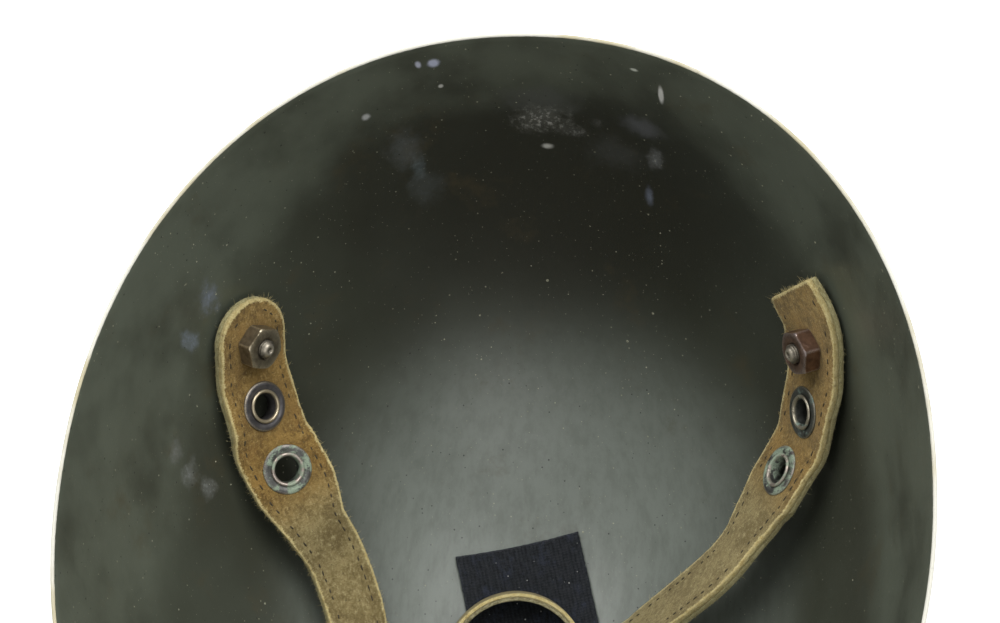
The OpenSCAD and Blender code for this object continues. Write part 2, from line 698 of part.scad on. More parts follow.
// Closed frame of wire: one cross wire at the origin, the other a given distance ahead
module wire_frame(length) {
    reach = frame_half - wire_d / 2;
    for (y = [0, length]) translate([0, y, 0]) wire_x(2 * reach, wire_d);
    for (x = [-reach, reach]) translate([x, 0, 0]) {
        rotate([-90, 0, 0]) cylinder(d = wire_d, h = length);
        for (y = [0, length]) translate([0, y, 0]) sphere(d = wire_d);
    }
}

module buckle_frame() { color(wire_steel) at(left_wire) wire_frame(buckle_l); }

module buckle_roller() {
    end_play = 0.5;
    length = 2 * (frame_half - wire_d - end_play);
    color(wire_steel) at(left_wire) translate([-length / 2, buckle_l, 0])
        rotate([0, 90, 0]) tube(roller_d, wire_d + 2 * running, length);
}

module buckle_prong() {
    hub_play = 0.7;
    hub_w = prong_slot - 2 * hub_play;
    tip_z = roller_d / 2 + prong_d / 2 + slip;
    root_z = (wire_d + prong_d) / 2 + running;
    beyond = 1;
    run = buckle_l + beyond;
    tilt = atan((tip_z - root_z) / buckle_l);
    color(wire_steel) at(left_wire) difference() {
        union() {
            wire_x(hub_w, wire_d + prong_d);
            translate([0, 0, root_z]) rotate([tilt - 90, 0, 0]) {
                cylinder(d = prong_d, h = run / cos(tilt));
                translate([0, 0, run / cos(tilt)]) sphere(d = prong_d);
            }
        }
        wire_x(hub_w + 2 * over, wire_d + 2 * running);
    }
}

module nape_strap_face() { color(leather_face) folded_face(nape_strap, nape_wire); }

module nape_strap_backing() { color(leather_back) backing_to_fold(nape_strap, nape_wire); }

module nape_loop() { color(wire_steel) at(nape_wire) wire_frame(loop_l); }

shell();
crown_patch();
bolt(side_frames[0]);  // left_bolt
bolt(side_frames[1]);  // right_bolt
bolt(side_frames[2]);  // nape_bolt
bolt_washer(side_frames[0]);  // left_bolt_washer
bolt_washer(side_frames[1]);  // right_bolt_washer
bolt_washer(side_frames[2]);  // nape_bolt_washer
nut(side_frames[0]);  // left_nut
nut(side_frames[1]);  // right_nut
nut(side_frames[2]);  // nape_nut
hanger_face(left_hanger, left_0, [left_1, left_2]);  // left_hanger_face
hanger_backing(left_hanger, left_0, [left_1, left_2]);  // left_hanger_backing
hanger_face(right_hanger, right_0, [right_1, right_2]);  // right_hanger_face
hanger_backing(right_hanger, right_0, [right_1, right_2]);  // right_hanger_backing
hanger_face(nape_hanger, nape_0, [nape_1]);  // nape_hanger_face
hanger_backing(nape_hanger, nape_0, [nape_1]);  // nape_hanger_backing
eyelet(left_1);  // left_upper_eyelet
eyelet_washer(left_1);  // left_upper_eyelet_washer
eyelet(left_2);  // left_lower_eyelet
eyelet_washer(left_2);  // left_lower_eyelet_washer
eyelet(right_1);  // right_upper_eyelet
eyelet_washer(right_1);  // right_upper_eyelet_washer
eyelet(right_2);  // right_lower_eyelet
eyelet_washer(right_2);  // right_lower_eyelet_washer
eyelet(nape_1);  // nape_eyelet
eyelet_washer(nape_1);  // nape_eyelet_washer
left_strap_face();
left_strap_backing();
right_strap_face();
right_strap_backing();
nape_strap_face();
nape_strap_backing();
chin_cup_outer_ply();
chin_cup_inner_ply();
chin_cup_rivets();
chin_billet();
billet_rivets();
buckle_frame();
buckle_prong();
buckle_roller();
nape_loop();
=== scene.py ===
"""Looks of a parachutist's steel helmet that lies upturned on its crown, seen into its opening.

All lengths are in metres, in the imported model's own frame: the origin is the lowest point of the crown,
+Z points out of the opening and +Y to the brow. Left and right are those of the main view.
"""

import json
import logging
from dataclasses import astuple, dataclass, field, replace
from enum import Enum
from math import asin, copysign, cos, degrees, exp, pi, radians, sin, sqrt, tan
from typing import Iterable, Sequence

import bmesh
import bpy
import numpy as np
from mathutils import Matrix, Vector, noise
from mathutils.geometry import delaunay_2d_cdt


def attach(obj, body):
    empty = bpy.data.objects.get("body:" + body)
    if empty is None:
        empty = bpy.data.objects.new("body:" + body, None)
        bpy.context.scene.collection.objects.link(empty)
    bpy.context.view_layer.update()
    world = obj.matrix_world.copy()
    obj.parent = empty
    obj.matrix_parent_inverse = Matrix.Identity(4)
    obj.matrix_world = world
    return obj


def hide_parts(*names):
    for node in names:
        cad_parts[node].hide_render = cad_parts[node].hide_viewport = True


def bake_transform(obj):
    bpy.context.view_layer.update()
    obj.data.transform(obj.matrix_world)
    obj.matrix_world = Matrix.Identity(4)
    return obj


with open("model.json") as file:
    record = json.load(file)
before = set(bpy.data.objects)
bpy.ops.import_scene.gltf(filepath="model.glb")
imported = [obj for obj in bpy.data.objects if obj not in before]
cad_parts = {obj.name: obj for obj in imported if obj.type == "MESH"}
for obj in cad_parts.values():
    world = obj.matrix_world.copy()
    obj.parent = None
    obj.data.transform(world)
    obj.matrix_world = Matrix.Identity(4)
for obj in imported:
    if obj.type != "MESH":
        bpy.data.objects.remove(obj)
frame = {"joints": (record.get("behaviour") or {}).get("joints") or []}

LOG = logging.getLogger("helmet")
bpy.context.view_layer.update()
MM = 0.001
SLACK = 0.02 * MM
RIVET_STEPS = (-4.5 * MM, 4.5 * MM)
RIVET_HOLE = 1.6 * MM
WIRE_BORE = 1.62 * MM
Triple = tuple[float, float, float]
Colour = Triple
Rows = np.ndarray
Numbers = Sequence[float]
Piece = bpy.types.Object
Finish = bpy.types.Material


# Shader maths


class Graph:
    """The nodes of one material behind its Principled shader, or of the world behind its background."""

    def __init__(self, name: str, world: bool = False) -> None:
        """Starts with only the shader and the output.

        Args:
            name: The material's or the world's name.
            world: Whether the nodes are a world's.
        """
        store, shader, output = "materials", "BsdfPrincipled", "Material"
        if world:
            store, shader, output = "worlds", "Background", "World"
        self.owner = getattr(bpy.data, store).new(name)
        self.owner.use_nodes = True
        self.nodes = self.owner.node_tree.nodes
        self.links = self.owner.node_tree.links
        self.nodes.clear()
        self.shader = self.nodes.new(f"ShaderNode{shader}")
        self.output = self.nodes.new(f"ShaderNodeOutput{output}")
        self.links.new(self.shader.outputs[0], self.output.inputs[0])

    def add(self, kind: str, settings: dict | None = None, inputs: dict | None = None,
            output: str | int = 0) -> "Value":
        """Adds a node.

        Args:
            kind: The node's type, such as ShaderNodeTexNoise.
            settings: Its settings, set first; stops is a ramp's list of place and colour.
            inputs: Values or links of its sockets, by name or number.
            output: The socket that is returned.

        Returns:
            The named output, ready for more maths.
        """
        node = self.nodes.new(kind)
        for key, value in (settings or {}).items():
            if key == "stops":
                elements = node.color_ramp.elements
                while len(elements) < len(value):
                    elements.new(0.5)
                for element, (place, colour) in zip(elements, value):
                    element.position, element.color = place, (*colour, 1.0)
            else:
                setattr(node, key, value)
        for key, value in (inputs or {}).items():
            self.feed(node.inputs[key], value)
        return Value(self, node.outputs[output])

    def feed(self, socket: bpy.types.NodeSocket, value: object) -> None:
        """Links a value to a socket, or sets the socket to a number or colour.

        Args:
            socket: The input to fill.
            value: A Value, a number, a colour or a vector.
        """
        if isinstance(value, Value):
            self.links.new(value.socket, socket)
        elif socket.type == "RGBA" and isinstance(value, (tuple, list)):
            socket.default_value = (*value, 1.0) if len(value) == 3 else value
        else:
            socket.default_value = value

    def dress(self, **sockets: object) -> Finish:
        """Fills the shader's sockets, named with _ for a space.

        Args:
            sockets: Values by socket name, such as Base_Color.

        Returns:
            The finished material.
        """
        for key, value in sockets.items():
            self.feed(self.shader.inputs[key.replace("_", " ")], value)
        return self.owner

    def place(self) -> "Value":
        """The point of the surface in the model's frame."""
        return self.add("ShaderNodeTexCoord", output="Object")

    def stored(self, name: str, output: str = "Fac") -> "Value":
        """A value that the mesh carries under a name."""
        return self.add("ShaderNodeAttribute", {"attribute_name": name}, output=output)

    def noise(self, where: "Value", scale: float, detail: float = 4.0, rough: float = 0.55) -> "Value":
        """Noise from 0 to 1 with a number of features per metre."""
        inputs = {"Vector": where, "Scale": scale, "Detail": detail, "Roughness": rough}
        return self.add("ShaderNodeTexNoise", {"noise_dimensions": "3D"}, inputs)

    def speckle(self, where: "Value", scale: float, radius: float, share: float) -> "Value":
        """Round specks, one in some of the cells of a loose grid.

        Args:
            where: The point of the surface.
            scale: Cells per metre.
            radius: A speck's radius in cells.
            share: Share of the cells that hold a speck.

        Returns:
            A mask that is 1 on a speck.
        """
        settings = {"voronoi_dimensions": "3D", "feature": "F1"}
        inputs = {"Vector": where, "Scale": scale, "Randomness": 1.0}
        near = self.add("ShaderNodeTexVoronoi", settings, inputs, "Distance")
        lot = self.add("ShaderNodeTexVoronoi", settings, inputs, "Color").part(0)
        size = (lot * (1.0 / share)).clamp()
        return (near / (radius * (1.15 - size))).between(1.0, 0.75) * lot.between(share, share * 0.97)

    def ray(self, kind: str) -> "Value":
        """1 for rays of a kind, such as Camera."""
        return self.add("ShaderNodeLightPath", output=f"Is {kind} Ray")

    def bump(self, height: "Value", depth: float, under: "Value | None" = None) -> "Value":
        """The normal of a height, whose 1 is a depth in metres, over a broader normal if there is one."""
        inputs = {"Height": height, "Distance": depth, "Strength": 1.0} | ({"Normal": under} if under else {})
        return self.add("ShaderNodeBump", None, inputs)


@dataclass(frozen=True)
class Value:
    """A node's output, on which Python's operators add further nodes."""

    graph: Graph
    socket: bpy.types.NodeSocket

    def _join(self, operation: str, first: object, second: object) -> "Value":
        """Adds the node that joins two values, of the sort that the values need.

        Args:
            operation: What the node does, such as ADD.
            first: A Value, a number, a colour or a vector.
            second: The other one.

        Returns:
            The node's output.
        """
        sorts = {v.socket.type for v in (first, second) if isinstance(v, Value)}
        if "RGBA" in sorts:
            settings = {"data_type": "RGBA", "blend_type": operation}
            first, second = ((v, v, v) if isinstance(v, float) else v for v in (first, second))
            return self.graph.add("ShaderNodeMix", settings, {0: 1.0, 6: first, 7: second}, 2)
        if "VECTOR" in sorts:
            if operation == "MULTIPLY" and isinstance(second, (int, float)):
                inputs = {0: first, "Scale": float(second)}
                return self.graph.add("ShaderNodeVectorMath", {"operation": "SCALE"}, inputs)
            return self.graph.add("ShaderNodeVectorMath", {"operation": operation}, {0: first, 1: second})
        return self.graph.add("ShaderNodeMath", {"operation": operation}, {0: first, 1: second})

    def __add__(self, other: object) -> "Value":
        """Sum of two values."""
        return self._join("ADD", self, other)

    def __radd__(self, other: object) -> "Value":
        """Sum with a plain number first."""
        return self._join("ADD", other, self)

    def __sub__(self, other: object) -> "Value":
        """Difference of two values."""
        return self._join("SUBTRACT", self, other)

    def __rsub__(self, other: object) -> "Value":
        """Difference with a plain number first."""
        return self._join("SUBTRACT", other, self)

    def __mul__(self, other: object) -> "Value":
        """Product of two values."""
        return self._join("MULTIPLY", self, other)

    def __rmul__(self, other: object) -> "Value":
        """Product with a plain number first."""
        return self._join("MULTIPLY", self, other)

    def __truediv__(self, other: object) -> "Value":
        """Quotient of two values."""
        return self._join("DIVIDE", self, other)

    def larger(self, other: object) -> "Value":
        """The larger of two values."""
        return self._join("MAXIMUM", self, other)

    def clamp(self) -> "Value":
        """The value kept from 0 to 1."""
        return self.graph.add("ShaderNodeClamp", None, {"Value": self})

    def wave(self) -> "Value":
        """Sine of the value in radians, brought to 0 to 1."""
        return self.graph.add("ShaderNodeMath", {"operation": "SINE"}, {0: self}) * 0.5 + 0.5

    def between(self, low: float, high: float) -> "Value":
        """0 at low and 1 at high, smooth between them and level beyond."""
        inputs = {"Value": self, "From Min": low, "From Max": high}
        return self.graph.add("ShaderNodeMapRange", {"interpolation_type": "SMOOTHSTEP"}, inputs)

    def mix(self, low: object, high: object) -> "Value":
        """The colour low where this mask is 0 and high where it is 1."""
        return self.graph.add("ShaderNodeMix", {"data_type": "RGBA"}, {0: self, 6: low, 7: high}, 2)

    def part(self, index: int) -> "Value":
        """One component of a vector or colour, as a number."""
        return self.graph.add("ShaderNodeSeparateXYZ", None, {0: self}, index)

    def far_from(self, point: Numbers, shape: Numbers) -> "Value":
        """Distance in metres from a point, with each axis stretched by its own number."""
        apart = (self - tuple(point)).stretched(shape)
        return self.graph.add("ShaderNodeVectorMath", {"operation": "LENGTH"}, {0: apart}, "Value")

    def stretched(self, along: Numbers) -> "Value":
        """The vector with each component multiplied by its own number."""
        return self._join("MULTIPLY", self, tuple(along))


# Finishes


@dataclass(frozen=True)
class Stain:
    """A mark on the inner wall.

    Its spread is a radius in metres, ragged says how far its outline wanders, flecked how much it breaks up,
    and shape stretches it along the axes.
    """

    point: Triple
    spread: float
    colour: Colour
    strength: float = 0.7
    ragged: float = 2.2
    flecked: float = 0.6
    shape: Triple = (1.0, 1.0, 1.0)


@dataclass(frozen=True)
class ShellPaint:
    """Olive paint on steel: satin inside, matt and textured outside, worn to pale metal on the rim."""

    inside: Colour = (0.05, 0.057, 0.041)
    inside_dark: Colour = (0.034, 0.037, 0.025)
    # brow: painted shade, near black, for the shadowed wall under the brow
    brow: Colour = (0.01, 0.01, 0.006)
    # band: painted light, a paler colour for the lit wall just below the rim
    band: Colour = (0.1, 0.114, 0.085)
    # crown: painted sheen, a pale colour that stands in for the lamp's reflection on the crown
    crown: Colour = (0.187, 0.21, 0.184)
    rust: Colour = (0.062, 0.048, 0.022)
    outside: Colour = (0.062, 0.061, 0.03)
    outside_dark: Colour = (0.034, 0.033, 0.017)
    bare: Colour = (0.58, 0.57, 0.5)
    tan: Colour = (0.42, 0.38, 0.25)
    dust: Colour = (0.5, 0.49, 0.36)
    stains: tuple[Stain, ...] = ()

    def inner_colour(self, g: Graph, p: Value, cloud: Value) -> Value:
        """Colour of the inner paint before its marks.

        Args:
            g: The material's nodes.
            p: The point of the surface.
            cloud: Soft noise of a few centimetres.

        Returns:
            The colour: painted shade under the brow, a painted light band below the rim and a painted sheen
                on the crown.
        """
        colour = g.noise(p, 13, 5).between(0.35, 0.66).mix(self.inside_dark, self.inside)
        wander = (cloud - 0.5) * 0.022
        # Painted sheen on the crown: low is its mask, fading out up the wall, and worn only breaks it up; it
        # is not wear.
        low = (p.part(2) + wander * 0.5).between(0.063, 0.012)
        worn = g.noise(p.stretched((1.0, 0.35, 1.0)), 210, 5, 0.7).between(0.3, 0.62) * 0.25 + 0.7
        colour = (low * worn).mix(colour, self.crown)
        # Painted shade: the wall under the brow is darkened to near black.
        brow_painted_shade = (p.far_from((0.014, 0.135, 0.092), (0.65, 0.85, 1.05)) + wander).between(0.094, 0.024)
        colour = (brow_painted_shade * 0.88).mix(colour, self.brow)
        # Painted light: a paler band below the rim, reaching further down on the left and right walls.
        beside = (p.part(0).larger(p.part(0) * -1.0) - 0.05).larger(0.0) * 0.65
        band = (p.part(2) + wander + beside).between(0.124, 0.154)
        colour = (band * g.noise(p, 34, 4).between(0.2, 0.62) * 0.85).mix(colour, self.band)
        return (g.noise(p + (0.4, 0.1, 0.2), 38, 6, 0.7).between(0.56, 0.74) * 0.45).mix(colour, self.rust)

    def material(self) -> Finish:
        """Builds the shell's material.

        Returns:
            The material for the whole pressing.
        """
        g = Graph("shell_paint")
        p = g.place()
        inner = g.stored("inner")
        cloud = g.noise(p, 55, 6, 0.62)
        ragged = g.noise(p + (0.2, 0.6, 0.1), 170, 6, 0.7)
        fine = g.noise(p, 900, 5, 0.65)
        flecks = (g.noise(p, 520, 6, 0.78) - 0.5 + (fine - 0.5) * 0.4).between(-0.02, 0.16)
        mark = self.inner_colour(g, p, cloud)
        film = None
        for stain in self.stains:
            reach = p.far_from(stain.point, stain.shape) + (ragged - 0.5) * (stain.spread * stain.ragged)
            broken = flecks * stain.flecked + (1.0 - stain.flecked)
            mask = reach.between(stain.spread, stain.spread * 0.15) * broken * stain.strength
            mark = mask.mix(mark, stain.colour)
            film = mask if film is None else film.larger(mask)
        dots = g.speckle(p, 320, 0.095, 0.9).larger(g.speckle(p, 680, 0.105, 0.9) * 0.8)
        dots = dots.larger(g.speckle(p, 110, 0.055, 0.8))
        pits = g.speckle(p + (0.31, 0.17, 0.05), 360, 0.12, 0.75)
        where_dust = g.noise(p, 22, 3).between(0.38, 0.62) * 0.65 + 0.35
        mark = (pits * 0.75).mix(mark, (0.007, 0.007, 0.005))
        mark = (dots * where_dust).mix(mark, fine.between(0.35, 0.65).mix(self.dust, (0.22, 0.22, 0.15)))
        outside = g.noise(p, 14, 5).between(0.35, 0.68).mix(self.outside_dark, self.outside)
        scuffs = g.noise(p.stretched((0.4, 1.0, 1.0)), 120, 6, 0.72).between(0.55, 0.66)
        outside = (scuffs * cloud.between(0.45, 0.62) * 0.5).mix(outside, (0.115, 0.112, 0.075))
        chips = (ragged * 0.6 + cloud * 0.4).between(0.61, 0.64) * 0.85
        worn = (g.stored("rub") + (ragged - 0.5) * 0.5).between(0.2, 0.36)
        outside = chips.larger(worn * 0.8).mix(outside, (0.075, 0.055, 0.04))
        colour = inner.mix(outside, mark)
        edge = (g.stored("rim") + (g.noise(p, 210, 6, 0.7) - 0.5) * 0.8).between(0.66, 0.84)
        tint = g.noise(p, 26, 3).between(0.44, 0.6).mix(self.bare, self.tan)
        colour = (edge * 0.9).mix(colour, tint)
        gloss = (cloud - 0.5) * 0.14 + 0.4 + film * 0.4 + dots * 0.3 + (fine - 0.5) * 0.1
        rough = gloss * inner + (1.0 - inner) * 0.72 + edge * 0.1
        grain = g.noise(p, 1500, 3, 0.6) * 0.35 + g.noise(p, 320, 4, 0.5) * 0.65
        lumps = (grain + dots * 0.8 - pits * 0.9 + film * fine * 0.6) * (inner * 0.55 + (1.0 - inner) * 1.8)
        lie = g.bump(lumps, 0.11 * MM, g.bump(g.noise(p, 26, 2, 0.4), 0.8 * MM))
        return g.dress(Base_Color=colour, Roughness=rough.clamp(), Normal=lie, Specular_IOR_Level=0.6)


@dataclass(frozen=True)
class Hide:
    """Three tones of one stretch of leather."""

    dark: Colour
    face: Colour
    pale: Colour


@dataclass(frozen=True)
class RoughLeather:
    """Golden-brown leather with a fibrous face and pale, furry cut edges, darker where hardware clamps it."""

    name: str
    clamped: Hide = Hide((0.105, 0.058, 0.012), (0.285, 0.175, 0.045), (0.42, 0.32, 0.14))
    free: Hide = Hide((0.135, 0.098, 0.036), (0.27, 0.215, 0.095), (0.4, 0.35, 0.19))
    edge: Colour = (0.46, 0.35, 0.13)
    edge_pale: Colour = (0.64, 0.56, 0.29)
    warm: Colour = (0.285, 0.162, 0.041)
    relief: float = 1.0

    def material(self) -> Finish:
        """Builds the leather from the cut's own coordinates, so that it stays put where a strap bends.

        Returns:
            The leather's material.
        """
        g = Graph(self.name)
        p = g.stored("lay", "Vector")
        cut, rub, free = g.stored("cut"), g.stored("rub"), g.stored("free")
        broad = g.noise(p, 95, 4, 0.6)
        mottle = g.noise(p, 420, 5, 0.7)
        fibre = g.noise(p.stretched((1.0, 0.45, 1.0)), 1150, 5, 0.75)
        hair = g.noise(p.stretched((0.5, 1.0, 1.0)), 2300, 4, 0.75)
        dark, face, pale = (free.mix(*tones) for tones in zip(astuple(self.clamped), astuple(self.free)))
        colour = (broad * 0.5 + mottle * 0.5 + (fibre - 0.5) * 0.5).between(0.38, 0.6).mix(dark, face)
        colour = ((fibre * 0.7 + mottle * 0.3).between(0.52, 0.68) * 0.85).mix(colour, pale)
        warm = g.noise(p + (0.3, 0.2, 0.0), 150, 4, 0.65).between(0.48, 0.66) * (1.0 - free) * 0.5
        colour = warm.mix(colour, self.warm)
        colour = (hair.between(0.5, 0.34) * 0.8).mix(colour, dark)
        colour = (hair.between(0.57, 0.68) * 0.75).mix(colour, pale)
        colour = (rub * mottle.between(0.35, 0.6) * 0.6).mix(colour, dark)
        soil = g.speckle(p, 420, 0.13, 0.8)
        colour = (soil * 0.55).mix(colour, (0.04, 0.03, 0.012))
        furry = (cut + (hair - 0.5) * 0.9 + (mottle - 0.5) * 0.7).between(0.34, 0.66)
        fur = (fibre * 0.5 + hair * 0.5).between(0.4, 0.6)
        colour = (furry * 0.9).mix(colour, fur.mix(self.edge, self.edge_pale))
        colour = (furry * mottle.between(0.42, 0.3) * 0.6).mix(colour, dark)
        lie = g.bump(fibre * 0.5 + hair * 0.3 + mottle * 0.5 - soil * 0.3, 0.55 * MM * self.relief)
        g.dress(Sheen_Weight=0.25, Sheen_Roughness=0.6, Sheen_Tint=(0.85, 0.78, 0.52), Specular_IOR_Level=0.2)
        return g.dress(Base_Color=colour, Roughness=(mottle * 0.15 + 0.78), Normal=lie)


@dataclass(frozen=True)
class AgedMetal:
    """Metal with a dull skin, brighter where it is rubbed, and a crust where it has corroded."""

    name: str
    skin: Colour
    rubbed: Colour
    crust: Colour
    crusted: float = 0.3
    rough: float = 0.42
    metallic: float = 0.75

    def material(self) -> Finish:
        """Builds the metal, with the mesh's own rub mask for its bright edges.

        Returns:
            The metal's material.
        """
        g = Graph(self.name)
        p = g.place()
        rub = g.stored("rub")
        cloud = g.noise(p, 330, 5, 0.62)
        fine = g.noise(p, 2400, 4, 0.65)
        colour = cloud.between(0.35, 0.66).mix(self.skin, tuple(c * 0.55 for c in self.skin))
        bright = (rub + (fine - 0.5) * 0.5).between(0.35, 0.75)
        colour = (bright * 0.85).mix(colour, self.rubbed)
        low = 0.8 - 0.62 * self.crusted
        crust = (g.noise(p + (0.2, 0.1, 0.4), 210, 6, 0.7) + (fine - 0.5) * 0.25).between(low, low + 0.09)
        rust = fine.between(0.35, 0.7).mix(self.crust, tuple(c * 1.35 for c in self.crust))
        colour = (crust * 0.9).mix(colour, rust)
        lie = g.bump(cloud * 0.4 + fine * 0.5 + crust * 0.9, 0.07 * MM)
        rough = (cloud - 0.5) * 0.25 + self.rough + crust * 0.35 - bright * 0.08
        return g.dress(Base_Color=colour, Roughness=rough.clamp(), Normal=lie,
                       Metallic=((1.0 - crust) * self.metallic))


@dataclass(frozen=True)
class Thread:
    """Waxed linen sewing thread, dark with age."""

    name: str
    colour: Colour = (0.055, 0.04, 0.018)

    def material(self) -> Finish:
        """Builds the thread, with its twist as a fine slanting rib.

        Returns:
            The thread's material.
        """
        g = Graph(self.name)
        p = g.stored("lay", "Vector")
        twist = (p.part(1) * 6000.0 + p.part(0) * 3200.0).wave()
        # Painted shade: the thread's colour at half brightness in the grooves of its twist.
        colour = twist.mix(tuple(c * 0.5 for c in self.colour), self.colour)
        return g.dress(Base_Color=colour, Roughness=(twist * 0.1 + 0.7), Normal=g.bump(twist, 0.06 * MM))


@dataclass(frozen=True)
class Webbing:
    """Ribbed cotton webbing in navy gone nearly black, with lint in its ribs."""

    warp: Colour = (0.026, 0.029, 0.033)
    # Dark colour of the weave's hollows: partly the weave's own pattern, partly painted shade.
    rib_hollow_painted_shade: Colour = (0.006, 0.007, 0.009)
    lint: Colour = (0.5, 0.51, 0.48)

    def material(self) -> Finish:
        """Builds the webbing from the patch's own coordinates.

        Returns:
            The webbing's material.
        """
        g = Graph("webbing_cloth")
        p = g.stored("lay", "Vector")
        fray = g.stored("cut")
        rib = (p.part(0) * 4468.0).wave()
        picks = g.noise(p.stretched((700.0, 330.0, 1.0)), 1.0, 4, 0.7)
        over = (p.part(1) * 6200.0 + picks * 14.0).wave()
        cloud = g.noise(p, 180, 5, 0.6)
        fine = g.noise(p, 2600, 4, 0.75)
        # The weave pattern, darkest where the bump is lowest: painted shade in its hollows.
        weave = (rib * 0.35 + over * 0.25 + picks.between(0.35, 0.65) * 0.5).clamp()
        blue = cloud.between(0.48, 0.7) * picks.between(0.4, 0.6) * 0.7
        colour = blue.mix(weave.mix(self.rib_hollow_painted_shade, self.warp), (0.03, 0.038, 0.062))
        colour = (fine.between(0.56, 0.72) * 0.55).mix(colour, (0.085, 0.09, 0.085))
        lint = g.speckle(p, 330, 0.09, 0.8).larger(g.speckle(p, 160, 0.05, 0.8))
        colour = (lint * 0.85).mix(colour, self.lint)
        colour = (fray * fine.between(0.45, 0.7) * 0.5).mix(colour, (0.1, 0.11, 0.12))
        lie = g.bump(rib * 0.4 + over * 0.3 + picks * 0.6 + fine * 0.35 + lint * 0.4, 0.4 * MM)
        g.dress(Sheen_Weight=0.12, Sheen_Roughness=0.5, Sheen_Tint=(0.6, 0.65, 0.8), Specular_IOR_Level=0.2)
        return g.dress(Base_Color=colour, Roughness=(fine * 0.1 + 0.82), Normal=lie)


# Geometry


def unit(v: Numbers) -> Rows:
    """The vector made one unit long."""
    v = np.asarray(v, float)
    return v / np.linalg.norm(v)


def rows_unit(rows: Rows) -> Rows:
    """Each row made one unit long."""
    return rows / np.linalg.norm(rows, axis=1, keepdims=True)


def signed_pow(x: Rows, power: float) -> Rows:
    """Power of a number's size, with its sign kept."""
    return np.sign(x) * np.abs(x) ** power


def smooth_step(x: Rows) -> Rows:
    """0 below 0, 1 above 1 and an even S between."""
    x = np.clip(x, 0, 1)
    return x * x * (3 - 2 * x)


def rough_at(points: Rows, scale: float, seed: float = 0.0) -> Rows:
    """Smooth noise from -1 to 1 at each point.

    Args:
        points: Rows of two or three coordinates in metres.
        scale: Features per metre.
        seed: A shift that gives another pattern.

    Returns:
        One number for each point.
    """
    full = np.zeros((len(points), 3))
    full[:, : points.shape[1]] = points * scale
    return np.array([noise.noise(Vector(p) + Vector((seed, 2.3 * seed, 7.1))) for p in full])


@dataclass(frozen=True)
class Place:
    """A spot on a wall or strap: its point, the way it faces, its heading and its width direction."""

    point: Rows
    facing: Rows
    heading: Rows
    across: Rows

    @classmethod
    def of(cls, point: Numbers, facing: Numbers, heading: Numbers) -> "Place":
        """Makes a place, with its heading brought square to its facing.

        Args:
            point: Where it is.
            facing: The way off the wall.
            heading: About the way along the strap.

        Returns:
            The place.
        """
        n = unit(facing)
        t = np.asarray(heading, float)
        t = unit(t - (t @ n) * n)
        return cls(np.asarray(point, float), n, t, np.cross(t, n))

    def ahead(self, run: float, up: float = 0.0) -> "Place":
        """The place moved along its heading and up along its facing."""
        return replace(self, point=self.point + run * self.heading + up * self.facing)

    def turned(self, back: float, turn: float) -> "Place":
        """The place moved back and then turned in its own plane."""
        heading = cos(turn) * self.heading - sin(turn) * self.across
        return Place.of(self.point - back * self.heading, self.facing, heading)

    def towards(self, angle: float) -> Rows:
        """The direction at an angle from the facing to the heading."""
        return cos(angle) * self.facing + sin(angle) * self.heading

    def leant(self, lean: float, out: float = 0.0) -> "Place":
        """The place leaning over to its heading, and moved out along its new facing."""
        facing = self.towards(lean)
        return Place.of(self.point + out * facing, facing, self.towards(lean + pi / 2))

    def after(self, facing: Numbers, heading: Numbers, run: float) -> "Place":
        """The next flat stretch, half of the run on along this heading and half along its own."""
        turned = Place.of((0, 0, 0), facing, heading)
        return replace(turned, point=self.point + run / 2 * self.heading + run / 2 * turned.heading)

    @property
    def basis(self) -> Rows:
        """Its width direction, heading and facing, as rows."""
        return np.array([self.across, self.heading, self.facing])

    def spread(self, local: Rows) -> Rows:
        """Rows of width, run and height brought into the model's frame."""
        return self.point + local @ self.basis


def make_mesh(name: str, points: Rows, faces: Iterable[Sequence[int]], smooth: bool = True,
              **stored: Rows) -> Piece:
    """Makes an object from points and faces, with its faces turned outward.

    Args:
        name: The piece's name.
        points: Rows of coordinates in the model's frame.
        faces: Lists of corner numbers.
        smooth: Whether the faces are shaded smooth.
        stored: A number or a row of three for each point, by the name that its finish reads.

    Returns:
        The new object, linked to the scene.
    """
    mesh = bpy.data.meshes.new(name)
    mesh.from_pydata([tuple(p) for p in np.asarray(points, float)], [], [tuple(f) for f in faces])
    work = bmesh.new()
    work.from_mesh(mesh)
    bmesh.ops.recalc_face_normals(work, faces=work.faces)
    work.to_mesh(mesh)
    work.free()
    mesh.polygons.foreach_set("use_smooth", [smooth] * len(mesh.polygons))
    mesh.update()
    for key, values in stored.items():
        values = np.asarray(values, np.float32)
        kind, field_name = ("FLOAT", "value") if values.ndim == 1 else ("FLOAT_VECTOR", "vector")
        mesh.attributes.new(key, kind, "POINT").data.foreach_set(field_name, values.ravel())
    obj = bpy.data.objects.new(name, mesh)
    bpy.context.scene.collection.objects.link(obj)
    return obj


def settle(obj: Piece, material: Finish, body: str | None, slot: str, *nodes: str) -> Piece:
    """Dresses a piece, lets it ride on a body and stand for its nodes.

    Args:
        obj: The piece.
        material: Its finish.
        body: The body that it moves with, or None, which leaves it on no body.
        slot: The record's material slot; not used.
        nodes: The solids that it stands for.

    Returns:
        The same piece.
    """
    if not obj.data.materials:
        obj.data.materials.append(material)
    if body:
        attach(obj, body)
    if nodes:
        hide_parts(*nodes)
    LOG.info("%s: %d faces, rides on %s, for %s", obj.name, len(obj.data.polygons), body or "two bodies",
             ", ".join(nodes) or "no node")
    return obj


def run_along(line: Rows) -> Rows:
    """Distance along a line at each of its points."""
    return np.r_[0, np.cumsum(np.linalg.norm(np.diff(line, axis=0), axis=1))]


def rows_at(spots: Rows, runs: Rows, rows: Rows) -> Rows:
    """Rows read off between their own runs."""
    return np.stack([np.interp(spots, runs, column) for column in rows.T], 1)


